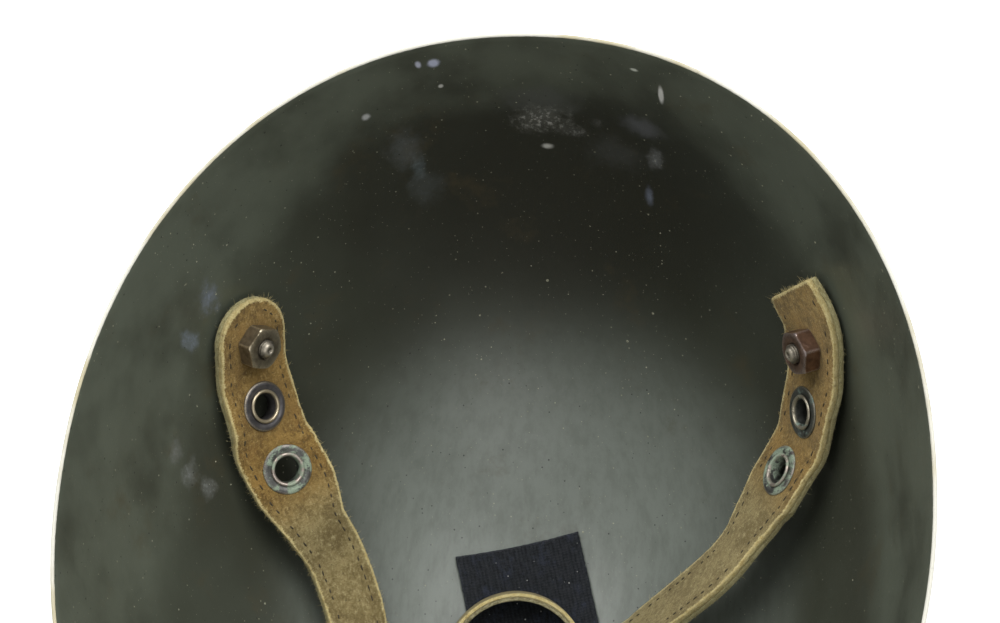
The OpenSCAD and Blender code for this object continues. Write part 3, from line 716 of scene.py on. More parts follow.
def average(rows: Rows, times: int) -> None:
    """Averages each row with its neighbours some times over, and keeps the ends."""
    for _ in range(times):
        rows[1:-1] = (rows[:-2] + 2 * rows[1:-1] + rows[2:]) / 4


def even_loop(loop: Rows, count: int = 0, step: float = 0.75 * MM) -> Rows:
    """The points of a loop spaced evenly: so many, or about a step apart where the count is 0."""
    runs = run_along(closed := np.r_[loop, loop[:1]])
    return rows_at(np.linspace(0, runs[-1], count or int(runs[-1] / step), endpoint=False), runs, closed)


def round_box(half: float, start: float, end: float, corner: float, steps: int) -> Rows:
    """Goes round a box with rounded corners.

    Args:
        half: Half of its width.
        start: Where it begins along its length.
        end: Where it ends.
        corner: Radius of its corners.
        steps: Points on each corner.

    Returns:
        The points, turning left.
    """
    loop = []
    for x, y, turn in ((half, end, 0), (-half, end, 90), (-half, start, 180), (half, start, 270)):
        middle = np.array([x - copysign(corner, x), y + (corner if y == start else -corner)])
        for a in np.radians(turn + np.linspace(0, 90, steps)):
            loop.append(middle + corner * np.array([cos(a), sin(a)]))
    return np.array(loop)


def round_steps(count: int) -> Rows:
    """Angles of even steps round a circle."""
    return np.linspace(0, 2 * pi, count, endpoint=False)


def rings_of(number: int, count: int, start: int = 0) -> list[list[int]]:
    """Point numbers of equal rings that follow each other."""
    return [list(range(start + k * count, start + (k + 1) * count)) for k in range(number)]


def ring_faces(rings: Sequence[Sequence[int]], closed: bool = False) -> list[tuple[int, ...]]:
    """Makes the faces between rings of points.

    Args:
        rings: Point numbers of each ring; a ring may be a single point.
        closed: Whether the last ring joins the first.

    Returns:
        Each face's point numbers.
    """
    faces = []
    for a, b in zip(rings, [*rings[1:], rings[0]] if closed else rings[1:]):
        count = max(len(a), len(b))
        for k in range(count):
            m = (k + 1) % count
            faces.append(tuple(dict.fromkeys((a[k % len(a)], a[m % len(a)], b[m % len(b)], b[k % len(b)]))))
    return faces


def lathe(name: str, place: Place, profile: Sequence[Triple], segments: int = 64) -> Piece:
    """Turns a closed or open profile round a place's facing.

    Args:
        name: The piece's name.
        place: The axis and its foot.
        profile: Radius, height and rub mask for each ring; a first or last radius of 0 closes it.
        segments: Steps round the axis.

    Returns:
        The turned piece, with its rub mask stored.
    """
    local, rub, rings = [], [], []
    angles = round_steps(segments)
    for radius, height, mask in profile:
        count = 1 if radius == 0 else segments
        rings += rings_of(1, count, len(local))
        local += [(radius * cos(a), radius * sin(a), height) for a in angles[:count]]
        rub += [mask] * count
    faces = ring_faces(rings, bool(profile[0][0] and profile[-1][0]))
    return make_mesh(name, place.spread(np.array(local)), faces, rub=rub)


def sweep(name: str, line: Rows, sides: Rows, ups: Rows, radius: Rows, closed: bool,
          segments: int = 20) -> Piece:
    """Sweeps a round section along a line.

    Args:
        name: The piece's name.
        line: Points of the centre line.
        sides: A unit vector across the line at each point.
        ups: Another, square to both.
        radius: The section's radius at each point.
        closed: Whether the line ends where it starts.
        segments: Steps round the section.

    Returns:
        The swept piece, with capped ends where the line is open.
    """
    angles = round_steps(segments)
    points = np.concatenate([c + r * (np.cos(angles)[:, None] * s + np.sin(angles)[:, None] * u)
                             for c, s, u, r in zip(line, sides, ups, radius)])
    rings = rings_of(len(line), segments)
    faces = ring_faces(rings, closed) + ([] if closed else [tuple(rings[0]), tuple(rings[-1])])
    return make_mesh(name, points, faces, rub=np.full(len(points), 0.25))


def join(parts: Sequence[Piece]) -> Piece:
    """Joins meshes.

    Args:
        parts: The meshes.

    Returns:
        The first of them, which holds all.
    """
    with bpy.context.temp_override(object=parts[0], active_object=parts[0], selected_editable_objects=parts):
        bpy.ops.object.join()
    return parts[0]


@dataclass(frozen=True)
class Bowl:
    """The form of the pressing: a superellipse in plan with a round bottom and a nearly straight skirt."""

    width: float = 0.245
    length: float = 0.282
    depth: float = 0.164
    steel: float = 0.0012
    skirt: float = 0.032
    power: float = 2.1
    flat_angle: float = radians(4)
    turn_angle: float = radians(80)

    def half_axes(self, inset: float) -> Rows:
        """Half axes of the rim's outline, inset from the outside."""
        return np.array([self.width / 2 - inset, self.length / 2 - inset])

    def rise(self, inset: float) -> float:
        """Height scale of the round part."""
        return (self.depth - self.skirt - inset) / (cos(self.flat_angle) - cos(self.turn_angle))

    def gain(self, inset: float) -> float:
        """Width scale of the round part, so that the skirt ends on the rim's outline."""
        return 1 / (sin(self.turn_angle) + self.skirt / tan(self.turn_angle) / self.rise(inset))

    def lean(self, inset: float) -> float:
        """Share of the outline that the skirt gives up per metre of depth."""
        return self.gain(inset) / tan(self.turn_angle) / self.rise(inset)

    def share_at(self, z: float, inset: float) -> float:
        """Finds how wide the bowl is at a height.

        Args:
            z: The height.
            inset: How far the surface lies inside the steel's outside.

        Returns:
            Its share of the rim's outline.
        """
        if z > self.depth - self.skirt:
            return 1 - (self.depth - z) * self.lean(inset)
        level = cos(self.flat_angle) - (z - inset) / self.rise(inset)
        return self.gain(inset) * sqrt(max(0.0, 1 - level**2))

    def plan_share(self, u: float, v: float) -> float:
        """Share of the outline on which a point of the plan lies."""
        return (abs(u) ** self.power + abs(v) ** self.power) ** (1 / self.power)

    def height_at(self, u: float, v: float, inset: float) -> float:
        """Finds the height of a surface over a point of the plan.

        Args:
            u: The point's share of the half width.
            v: Its share of the half length.
            inset: How far the surface lies inside the steel's outside.

        Returns:
            The height.
        """
        s = self.plan_share(u, v)
        if s <= self.gain(inset) * sin(self.flat_angle):
            return inset
        if s <= self.gain(inset) * sin(self.turn_angle):
            level = sqrt(1 - (s / self.gain(inset)) ** 2)
            return inset + self.rise(inset) * (cos(self.flat_angle) - level)
        return self.depth - (1 - s) / self.lean(inset)

    def floor(self, x: float, y: float) -> float:
        """Height of the inner wall over a point of the plan in metres."""
        a, b = self.half_axes(self.steel)
        return self.height_at(x / a, y / b, self.steel)

    def wall_normal(self, u: float, v: float) -> Rows:
        """Finds the normal of the inner wall.

        Args:
            u: The point's share of the half width.
            v: Its share of the half length.

        Returns:
            The normal, pointing into the bowl.
        """
        s, inset = max(self.plan_share(u, v), 0.001), self.steel
        a, b = self.half_axes(inset)
        if s <= self.gain(inset) * sin(self.flat_angle):
            slope = 0.0
        elif s <= self.gain(inset) * sin(self.turn_angle):
            slope = self.rise(inset) * s / self.gain(inset) ** 2 / sqrt(1 - (s / self.gain(inset)) ** 2)
        else:
            slope = 1 / self.lean(inset)
        pull, power = slope * s ** (1 - self.power), self.power - 1
        return unit((-pull * signed_pow(u, power) / a, -pull * signed_pow(v, power) / b, 1.0))

    def off_wall(self, u: float, v: float, gap: float) -> Rows:
        """Point at a distance off the inner wall."""
        a, b = self.half_axes(self.steel)
        return np.array([u * a, v * b, self.height_at(u, v, self.steel)]) + gap * self.wall_normal(u, v)

    def steel_along(self, place: Place) -> float:
        """Measures the wall's thickness by halving.

        Args:
            place: A place on the inner wall.

        Returns:
            The thickness behind it.
        """
        near, far = 0.0005, 0.0025
        a, b = self.half_axes(0)
        for _ in range(16):
            middle = (near + far) / 2
            p = place.point - middle * place.facing
            inside = self.share_at(p[2], 0) > self.plan_share(p[0] / a, p[1] / b)
            near, far = (middle, far) if inside else (near, middle)
        return near


@dataclass(frozen=True)
class Layout:
    """Where the bolts, eyelets and bends are, worked out from the bowl as the solids are."""

    bowl: Bowl = field(default_factory=Bowl)
    bolt_drop: float = 0.066
    bolt_y: float = 0.066
    washer_seat: float = 0.0024
    pitch: float = 0.0235
    bend_run: float = 0.013
    nape_low: float = 0.02

    def seats(self) -> dict[str, Place]:
        """Seats of the three bolts on the inner wall.

        Returns:
            A place for each of left, right and nape.
        """
        bowl = self.bowl
        share = bowl.share_at(bowl.depth - self.bolt_drop, bowl.steel)
        v = self.bolt_y / (bowl.length / 2 - bowl.steel)
        u = (share ** bowl.power - v ** bowl.power) ** (1 / bowl.power)
        spots = {"left": (-u, v), "right": (u, v), "nape": (0.0, -share)}
        return {k: Place.of(bowl.off_wall(*s, 0), bowl.wall_normal(*s), (0, 0, -1)) for k, s in spots.items()}

    def nape_facing(self, drop: float) -> Rows:
        """The wall's facing at a depth below the nape bolt."""
        z = self.bowl.depth - self.bolt_drop - drop
        return self.bowl.wall_normal(0.0, -self.bowl.share_at(z, self.bowl.steel))

    def hanger(self, side: str) -> list[Place]:
        """Flat stretches of an upper strap length: at the bolt and at each eyelet.

        Args:
            side: left, right or nape.

        Returns:
            The places, from the bolt down.
        """
        seat = self.seats()[side]
        heads = {"left": (0.1, -0.76, -0.66), "right": (-0.2, -0.76, -0.66), "nape": (0, 0.3, -0.95)}
        places = [Place.of(seat.point + self.washer_seat * seat.facing, seat.facing, heads[side])]
        turns = {
            "left": [((0.79, -0.23, 0.57), (0.2, -0.76, -0.64)),
                     ((0.51, -0.33, 0.8), (0.44, -0.71, -0.55))],
            "right": [((-0.88, -0.22, 0.42), (-0.36, -0.72, -0.6)),
                      ((-0.79, 0.1, 0.6), (-0.46, -0.72, -0.55))],
            "nape": [(tuple(self.nape_facing(0.033)), (0, 0.5, -0.86))],
        }[side]
        for facing, heading in turns:
            places.append(places[-1].after(facing, heading, self.pitch))
        return places


@dataclass
class Track:
    """A strap's line, sampled finely, with the way it faces and its width direction."""

    points: Rows
    facings: Rows
    acrosses: Rows
    runs: Rows

    @classmethod
    def through(cls, points: Rows, facings: Rows, step: float = 0.4 * MM, soften: int = 4,
                turn: int = 0) -> "Track":
        """Resamples a line evenly and squares its facings to it.

        Args:
            points: Rows of points, in order.
            facings: The way that the line faces at each.
            step: Distance between samples.
            soften: How many times neighbouring samples are averaged.
            turn: How many more times the width directions are averaged.

        Returns:
            The finished track.
        """
        keep = np.r_[True, np.linalg.norm(np.diff(points, axis=0), axis=1) > 1e-6]
        points, facings = points[keep], facings[keep]
        runs = run_along(points)
        even = np.linspace(0, runs[-1], max(8, int(runs[-1] / step)))
        p, n = (rows_at(even, runs, rows) for rows in (points, facings))
        for rows in (p, n):
            average(rows, soften)
        t = rows_unit(np.gradient(p, axis=0))
        n = rows_unit(n - (n * t).sum(1, keepdims=True) * t)
        w = np.cross(t, n)
        average(w, turn)
        w = rows_unit(w)
        return cls(p, rows_unit(np.cross(w, t)), w, even)

    @property
    def length(self) -> float:
        """Length of the line."""
        return float(self.runs[-1])

    def run_of(self, point: Rows) -> float:
        """Run of the sample nearest to a point."""
        return float(self.runs[np.argmin(np.linalg.norm(self.points - point, axis=1))])

    def at(self, runs: Rows) -> tuple[Rows, Rows, Rows]:
        """Reads the line at some runs, straight on beyond its ends.

        Args:
            runs: Where it is read.

        Returns:
            Points, facings and width directions.
        """
        p, n, w = (rows_at(runs, self.runs, rows) for rows in (self.points, self.facings, self.acrosses))
        n, w = rows_unit(n), rows_unit(w)
        over = np.clip(runs - self.length, 0, None) + np.clip(runs, None, 0)
        return p + over[:, None] * np.cross(n, w), n, w

    def lay(self, local: Rows) -> Rows:
        """Rows of width, run and height brought onto the line."""
        p, n, w = self.at(local[:, 1])
        return p + local[:, :1] * w + local[:, 2:] * n

    def shifted(self, depth: float) -> "Track":
        """The same line at another depth."""
        return Track.through(self.points + depth * self.facings, self.facings, soften=1)

    def part(self, start: float, end: float) -> "Track":
        """A stretch of the line, which keeps its runs."""
        keep = (self.runs >= start) & (self.runs <= end)
        return Track(*(rows[keep] for rows in (self.points, self.facings, self.acrosses, self.runs)))


def easy_curve(a: Place, b: Place, steps: int = 14) -> tuple[Rows, Rows]:
    """Bends a line smoothly from one place to another.

    Args:
        a: Where it starts.
        b: Where it ends.
        steps: Points between the two.

    Returns:
        Points and facings, ends left out.
    """
    k = np.linspace(0, 1, steps + 2)[1:-1, None]
    reach = np.linalg.norm(b.point - a.point)
    points = ((2 * k**3 - 3 * k**2 + 1) * a.point + (k**3 - 2 * k**2 + k) * reach * a.heading
              + (3 * k**2 - 2 * k**3) * b.point + (k**3 - k**2) * reach * b.heading)
    return points, (1 - smooth_step(k)) * a.facing + smooth_step(k) * b.facing


def knot_curve(knots: Sequence[tuple[Rows, Rows]], steps: int = 24) -> tuple[Rows, Rows]:
    """A smooth curve through knots of point and facing.

    Args:
        knots: Point and facing of each.
        steps: Samples between two knots.

    Returns:
        Points and facings along the curve.
    """
    rows = np.array([np.r_[p, unit(n)] for p, n in knots])
    out = []
    for i in range(len(rows) - 1):
        a, b, c, d = rows[max(i - 1, 0)], rows[i], rows[i + 1], rows[min(i + 2, len(rows) - 1)]
        bow, twist = 2 * a - 5 * b + 4 * c - d, 3 * b - a - 3 * c + d
        for k in np.linspace(0, 1, steps, endpoint=False):
            out.append(0.5 * (2 * b + (c - a) * k + bow * k**2 + twist * k**3))
    out.append(rows[-1])
    out = np.array(out)
    return out[:, :3], out[:, 3:]


@dataclass
class Cut:
    """The flat shape of a ply before it is bent: an outline and holes, in width and run."""

    outline: Rows
    holes: list[Rows] = field(default_factory=list)

    @staticmethod
    def between(runs: Rows, left: Rows, right: Rows, seed: float, wander: float = 0.22 * MM) -> "Cut":
        """A strip from its half widths at each run, with a hand-cut edge.

        Args:
            runs: Runs of the samples.
            left: Half width on the left at each.
            right: Half width on the right at each.
            seed: Which hand-cut edge.
            wander: How far the edge wanders.

        Returns:
            The strip's outline, going round with the ply on its left.
        """
        side = np.r_[np.stack([right, runs], 1), np.stack([-left, runs], 1)[::-1]]
        side = even_loop(side[np.r_[True, np.linalg.norm(np.diff(side, axis=0), axis=1) > 0.05 * MM]])
        edge = Cut.inward(side)
        shift = rough_at(side, 260, seed) * wander + rough_at(side, 1100, seed + 5) * wander * 0.6
        return Cut(side + edge * (np.abs(shift) * 0.9)[:, None])

    @staticmethod
    def inward(loop: Rows) -> Rows:
        """The direction into the ply at each point of a loop."""
        ahead = np.roll(loop, -1, 0) - np.roll(loop, 1, 0)
        return rows_unit(np.stack([-ahead[:, 1], ahead[:, 0]], 1) + 1e-12)

    def add_disc(self, width: float, run: float, radius: float) -> None:
        """Adds a round hole, whose middle is at a width and a run."""
        turn = -round_steps(max(20, int(radius * 7000)))
        self.holes.append(np.stack([width + radius * np.cos(turn), run + radius * np.sin(turn)], 1))

    def add_slot(self, half: float, start: float, end: float) -> None:
        """Adds a long slot of a half width in the middle of the ply, between two runs."""
        self.holes.append(even_loop(round_box(half, start, end, min(half * 0.8, 2 * MM), 6)[::-1]))

    def inside(self, points: Rows) -> Rows:
        """Tells which points are on the ply.

        Args:
            points: Rows of width and run.

        Returns:
            True for each point that is.
        """
        found = np.zeros(len(points), bool)
        for loop in [self.outline, *self.holes]:
            a, b = loop, np.roll(loop, -1, 0)
            x, y = points[:, :1], points[:, 1:]
            spans = (a[:, 1] > y) != (b[:, 1] > y)
            slope = np.where(spans, b[:, 1] - a[:, 1], 1.0)
            found ^= (spans & (x < (b[:, 0] - a[:, 0]) * (y - a[:, 1]) / slope + a[:, 0])).sum(1) % 2 == 1
        return found

    def fill(self, spacing: float, seed: int) -> tuple[Rows, list, list[list[int]], Rows]:
        """Covers the ply with triangles.

        Args:
            spacing: Distance between inner points.
            seed: Seed of their scatter.

        Returns:
            Points, triangles, the loops as lists of point numbers, and each point's distance from an edge.
        """
        loops, start = [], 0
        for loop in [self.outline, *self.holes]:
            loops += rings_of(1, len(loop), start)
            start += len(loop)
        edge = np.concatenate([self.outline, *self.holes])
        low, high = self.outline.min(0), self.outline.max(0)
        dice = np.random.default_rng(seed)
        lines = enumerate(np.arange(low[1], high[1], spacing * 0.87))
        grid = [(x + (row % 2) * spacing / 2, y) for row, y in lines
                for x in np.arange(low[0], high[0], spacing)]
        grid = np.array(grid) + dice.uniform(-0.16, 0.16, (len(grid), 2)) * spacing
        grid = grid[self.inside(grid)]
        apart = np.array([np.min(np.hypot(*(edge - p).T)) for p in grid])
        grid, apart = grid[apart > spacing * 0.55], apart[apart > spacing * 0.55]
        flat = np.r_[edge, grid]
        ties = [(loop[k], loop[(k + 1) % len(loop)]) for loop in loops for k in range(len(loop))]
        made = delaunay_2d_cdt([Vector(p) for p in flat * 1000], ties, [], 0, 1e-7)
        if len(made[0]) != len(flat):
            raise ValueError("the cut's edges cross")
        tris = np.array(made[2])
        tris = tris[self.inside(flat[tris].mean(1))]
        return flat, tris.tolist(), loops, np.r_[np.zeros(len(edge)), apart]


@dataclass
class Ply:
    """One ply of leather: a cut that is bent along a track and stands for some solids."""

    name: str
    track: Track
    cut: Cut
    thick: float
    seed: int
    spacing: float = 1.25 * MM
    relief: float = 0.16 * MM
    sink: float = 0.04 * MM
    clamped: float = 62 * MM

    def build(self, rub_at: Sequence[Triple] = ()) -> Piece:
        """Makes the ply's mesh, with rounded, ragged edges and a fibrous face.

        Args:
            rub_at: Width, run and radius of spots where hardware has rubbed the leather.

        Returns:
            The ply, with its lay, cut and rub masks stored.
        """
        flat, tris, loops, apart = self.cut.fill(self.spacing, self.seed)
        half, count = self.thick / 2, len(flat)
        face = rough_at(flat, 150, self.seed) + rough_at(flat, 620, self.seed + 3) * 0.5
        face *= self.relief * smooth_step(apart / (1.5 * MM))
        rows = [np.c_[flat, half + face - self.sink], np.c_[flat, -half + face * 0.4 + self.sink]]
        faces = [tuple(t) for t in tris] + [tuple(i + count for i in t[::-1]) for t in tris]
        cut = [np.exp(-apart / (0.9 * MM)) * 0.8] * 2
        steps = ((0.1, 0.82), (0.0, 0.3), (0.0, -0.3), (0.1, -0.82))
        start = 2 * count
        for loop in loops:
            inward = Cut.inward(flat[loop])
            rings = [list(loop)]
            for k, (back, up) in enumerate(steps):
                fray = (rough_at(flat[loop], 1500, self.seed + 11 * k) * 0.22
                        + rough_at(flat[loop], 400, self.seed + 5 * k) * 0.15) * MM
                shifted = flat[loop] - inward * (0.22 * MM - back * MM + fray)[:, None]
                rows.append(np.c_[shifted, np.full(len(loop), up * half)])
                cut.append(np.ones(len(loop)))
                rings += rings_of(1, len(loop), start)
                start += len(loop)
            faces += ring_faces([*rings, [i + count for i in loop]])
        local = np.concatenate(rows)
        free = smooth_step((local[:, 1] - self.clamped) / (22 * MM))
        rub = np.zeros(len(local))
        for width, run, radius in rub_at:
            gap = np.hypot(local[:, 0] - width, local[:, 1] - run)
            rub = np.maximum(rub, np.clip(1.6 - gap / radius, 0, 1))
        cut = np.concatenate(cut)
        return make_mesh(self.name, self.track.lay(local), faces, lay=local, cut=cut, free=free, rub=rub)

    def stitches(self, name: str, lines: Sequence[Rows], pitch: float = 3.5 * MM,
                 worn: float = 0.22) -> Piece:
        """Sews rows of stitches on the ply's face.

        Args:
            name: The thread's name.
            lines: Rows of width and run that the needle follows.
            pitch: Distance between needle holes.
            worn: Share of the stitches that have worn away.

        Returns:
            The thread, as short sunken loops.
        """
        local, faces = [], []
        dice = np.random.default_rng(self.seed + 70)
        ring = np.radians(np.arange(0, 360, 60))
        for line in lines:
            runs = run_along(line)
            for begin in np.arange(pitch * 0.5, runs[-1] - pitch, pitch):
                if dice.uniform() < worn:
                    continue
                k = np.linspace(0, 1, 7)
                s = begin + dice.uniform(-0.25, 0.25) * MM + k * pitch * dice.uniform(0.52, 0.78)
                middle = rows_at(s, runs, line) + np.outer(k - 0.5, dice.uniform(-0.25, 0.25, 2)) * MM
                up = self.thick / 2 + (np.sin(pi * k) ** 0.6 - dice.uniform(0.85, 1.05)) * 0.42 * MM
                ahead = unit(middle[-1] - middle[0])
                size = (0.13 + 0.1 * np.sin(pi * k)) * MM
                first = len(local)
                for m, z, r in zip(middle, up, size):
                    for a in ring:
                        side = r * 1.25 * cos(a)
                        local.append((m[0] - ahead[1] * side, m[1] + ahead[0] * side, z + r * sin(a)))
                rings = rings_of(len(k), len(ring), first)
                faces += ring_faces(rings) + [tuple(rings[0]), tuple(rings[-1])]
        local = np.array(local)
        return make_mesh(name, self.track.lay(local), faces, lay=local)

    def fur(self, name: str, amount: int, length: float = 1.9 * MM) -> Piece:
        """Grows loose fibres out of the ply's cut edges.

        Args:
            name: The fibres' name.
            amount: How many there are.
            length: Length of the longest.

        Returns:
            The fibres, as thin bent spikes.
        """
        dice = np.random.default_rng(self.seed + 40)
        loop = self.cut.outline
        inward = Cut.inward(loop)
        local, faces = [], []
        for k in dice.integers(0, len(loop), amount):
            reach = length * dice.uniform(0.35, 1.0) ** 1.6
            drift = np.array([*dice.normal(0, 0.55, 2), dice.normal(0, 0.5)])
            way = unit(np.r_[-inward[k], 0] + drift)
            bend = dice.normal(0, 0.35, 3) * reach
            root = np.r_[loop[k] + inward[k] * 0.15 * MM, dice.uniform(-0.45, 0.5) * self.thick]
            f, thick = len(local), dice.uniform(0.045, 0.1) * MM
            side = unit(np.cross(way, (0.3, 0.2, 0.9)))
            up = np.cross(way, side)
            for share, size in ((0.0, thick), (0.55, thick * 0.7)):
                middle = root + way * reach * share + bend * share**2
                local += [middle + size * (side * cos(a) + up * sin(a)) for a in (0.0, 2.09, 4.19)]
            local.append(root + way * reach + bend)
            faces += [(f, f + 1, f + 4, f + 3), (f + 1, f + 2, f + 5, f + 4), (f + 2, f, f + 3, f + 5),
                      (f + 3, f + 4, f + 6), (f + 4, f + 5, f + 6), (f + 5, f + 3, f + 6), (f, f + 2, f + 1)]
        local, ones = np.array(local), np.ones(len(local))
        return make_mesh(name, self.track.lay(local), faces, lay=local, cut=ones, free=ones)


# Sub-assemblies


@dataclass
class Shell:
    """The steel pressing, with its holes and its worn rim."""

    bowl: Bowl = field(default_factory=Bowl)
    hole: float = 6.55 * MM
    segments: int = 216
    marks: tuple[Stain, ...] = (
        Stain((0.004, 0.134, 0.133), 0.015, (0.085, 0.09, 0.08), 0.6, 1.6, 0.1, (0.8, 0.8, 1.5)),
        Stain((0.004, 0.134, 0.124), 0.0105, (0.4, 0.4, 0.36), 0.8, 1.6, 0.85, (0.9, 0.8, 1.2)),
        Stain((0.013, 0.133, 0.119), 0.0055, (0.34, 0.34, 0.31), 0.65, 1.6, 0.8, (0.6, 0.8, 1.6)),
        Stain((0.005, 0.131, 0.111), 0.0026, (0.46, 0.46, 0.42), 1.3, 0.8, 0.1, (0.9, 1.0, 1.4)),
        Stain((-0.041, 0.125, 0.119), 0.011, (0.09, 0.1, 0.094), 0.75, 1.6, 0.35, (1.4, 0.8, 0.8)),
        Stain((-0.038, 0.122, 0.11), 0.006, (0.115, 0.15, 0.16), 0.8, 1.8, 0.5, (1.6, 1.0, 1.0)),
        Stain((-0.037, 0.121, 0.101), 0.01, (0.07, 0.08, 0.075), 0.6, 1.6, 0.35, (1.2, 0.8, 1.0)),
        Stain((0.037, 0.128, 0.127), 0.01, (0.095, 0.1, 0.105), 0.8, 1.3, 0.1, (1.1, 0.8, 1.5)),
        Stain((0.041, 0.124, 0.114), 0.005, (0.26, 0.27, 0.27), 0.7, 1.8, 0.5, (1.3, 1.0, 0.8)),
        Stain((0.028, 0.127, 0.112), 0.011, (0.06, 0.064, 0.058), 0.55, 1.6, 0.3, (0.8, 0.8, 1.1)),
        Stain((0.022, 0.13, 0.124), 0.0035, (0.14, 0.14, 0.13), 0.6, 2.0, 0.7),
        Stain((0.038, 0.119, 0.097), 0.0048, (0.15, 0.17, 0.22), 0.9, 1.4, 0.3, (2.4, 1.0, 0.9)),
        Stain((0.0443, 0.1286, 0.1464), 0.0054, (0.62, 0.62, 0.58), 1.8, 0.4, 0.1, (4.6, 1.0, 1.0)),
        Stain((0.0365, 0.133, 0.1545), 0.0012, (0.55, 0.58, 0.5), 1.5, 0.8, 0.1, (0.6, 1.0, 1.2)),
        Stain((-0.0308, 0.1348, 0.1562), 0.002, (0.46, 0.48, 0.58), 1.5, 0.8, 0.1, (1.5, 1.0, 0.9)),
        Stain((-0.0263, 0.1358, 0.1555), 0.0026, (0.46, 0.49, 0.62), 1.6, 0.8, 0.1),
        Stain((-0.0257, 0.1345, 0.1442), 0.0012, (0.5, 0.5, 0.46), 1.5, 0.8, 0.1),
        Stain((-0.0497, 0.1253, 0.1407), 0.002, (0.42, 0.43, 0.42), 1.3, 0.8, 0.1),
        Stain((-0.1001, 0.0702, 0.1221), 0.0056, (0.16, 0.19, 0.23), 0.95, 2.6, 0.5, (1.0, 1.0, 0.7)),
        Stain((-0.1052, 0.0569, 0.1189), 0.005, (0.15, 0.18, 0.21), 0.85, 2.6, 0.5, (1.0, 1.3, 0.8)),
        Stain((-0.111, 0.024, 0.104), 0.005, (0.17, 0.18, 0.17), 0.85),
        Stain((-0.1085, 0.0205, 0.095), 0.0055, (0.18, 0.19, 0.18), 0.9),
        Stain((-0.104, 0.018, 0.085), 0.005, (0.18, 0.19, 0.18), 0.85),
    )

    def profile(self, inset: float) -> list[tuple[float, float]]:
        """Lists the rings of one side of the steel, from the crown to just below the rim.

        Args:
            inset: How far that side lies inside the steel's outside.

        Returns:
            Share of the rim's outline and height of each.
        """
        bowl = self.bowl
        flat = bowl.gain(inset) * sin(bowl.flat_angle)
        rings = [(flat * k / 3, inset) for k in (1, 2)]
        for angle in np.linspace(bowl.flat_angle, bowl.turn_angle, 54):
            z = inset + bowl.rise(inset) * (cos(bowl.flat_angle) - cos(angle))
            rings.append((bowl.share_at(z - 1e-9, inset), z))
        for z in np.linspace(bowl.depth - bowl.skirt, bowl.depth - 0.5 * MM, 14)[1:]:
            rings.append((bowl.share_at(z, inset), z))
        return rings

    def ring(self, share: float, z: float, inset: float) -> Rows:
        """Finds the points of one ring.

        Args:
            share: Its share of the rim's outline.
            z: Its height.
            inset: How far it lies inside the steel's outside.

        Returns:
            The points.
        """
        a, b = self.bowl.half_axes(inset)
        turn = round_steps(self.segments)
        x = share * a * signed_pow(np.cos(turn), 2 / self.bowl.power)
        y = share * b * signed_pow(np.sin(turn), 2 / self.bowl.power)
        return np.stack([x, y, np.full(self.segments, z)], 1)

    def build(self, seats: dict[str, Place]) -> Piece:
        """Makes the shell with its three bolt holes.

        Args:
            seats: Where the bolts go through.

        Returns:
            The dressed shell.
        """
        bowl, rings, masks = self.bowl, [], []
        near_rim = 3 * MM
        for share, z in self.profile(0.0):
            rings.append(self.ring(share, z, 0.0))
            masks.append((0.0, smooth_step((z - bowl.depth + near_rim) / near_rim) * 0.6))
        for inset, drop in ((0.08, 0.22), (0.3, 0.05), (0.6, 0.0), (0.9, 0.05), (1.12, 0.22)):
            edge = self.ring(1.0, bowl.depth - drop * MM, inset * MM)
            wear = rough_at(edge, 240, 3.0) * 0.5 + rough_at(edge, 60, 9.0) * 0.5
            edge[:, 2] -= np.clip(wear, 0, 1) * 0.16 * MM
            rings.append(edge)
            masks.append((0.5, 1.0))
        for share, z in self.profile(bowl.steel)[::-1]:
            rings.append(self.ring(share, z, bowl.steel))
            masks.append((1.0, smooth_step((z - bowl.depth + near_rim) / near_rim) * 0.6))
        points = np.concatenate([[(0, 0, 0)], *rings, [(0, 0, bowl.steel)]])
        index = [[0], *rings_of(len(rings), self.segments, 1), [len(points) - 1]]
        inner, rim = (np.r_[0.0, np.repeat(values, self.segments), last]
                      for values, last in zip(zip(*masks), (1.0, 0.0)))
        obj = make_mesh("steel_shell", points, ring_faces(index), inner=inner, rim=rim)
        for side, seat in seats.items():
            self.drill(obj, side, seat)
        return settle(obj, ShellPaint(stains=self.marks).material(), "shell", "olive_paint", "shell")

    def drill(self, obj: Piece, side: str, seat: Place) -> None:
        """Cuts one bolt hole out of the shell.

        Args:
            obj: The shell.
            side: Which bolt.
            seat: Where it goes through.
        """
        r, reach = self.hole / 2, 5 * MM
        profile = [(0, -reach, 0), (r, -reach, 0), (r, reach, 0), (0, reach, 0)]
        tool = lathe(f"drill_{side}", seat, profile, 40)
        cut = obj.modifiers.new("hole", "BOOLEAN")
        cut.operation, cut.object, cut.solver = "DIFFERENCE", tool, "EXACT"
        with bpy.context.temp_override(object=obj, active_object=obj, selected_objects=[obj]):
            bpy.ops.object.modifier_apply(modifier=cut.name)
        bpy.data.objects.remove(tool, do_unlink=True)


class Patina(Enum):
    """How an eyelet or nut has aged: its skin, its rubbed edges, its crust, and how much of that it has."""

    BROWN = ((0.235, 0.2, 0.14), (0.55, 0.48, 0.34), (0.085, 0.062, 0.035), 0.25)
    PLUM = ((0.15, 0.142, 0.145), (0.55, 0.47, 0.32), (0.17, 0.18, 0.17), 0.28)
    VERDIGRIS = ((0.155, 0.155, 0.145), (0.52, 0.44, 0.38), (0.23, 0.29, 0.21), 0.56)
    GREY = ((0.13, 0.135, 0.12), (0.44, 0.4, 0.3), (0.14, 0.2, 0.17), 0.4)
    RUSSET = ((0.21, 0.125, 0.085), (0.45, 0.38, 0.36), (0.12, 0.06, 0.035), 0.3)


def aged(name: str, patina: Patina, rough: float = 0.42) -> Finish:
    """The metal finish with a named patina."""
    return AgedMetal(name, *patina.value, rough).material()


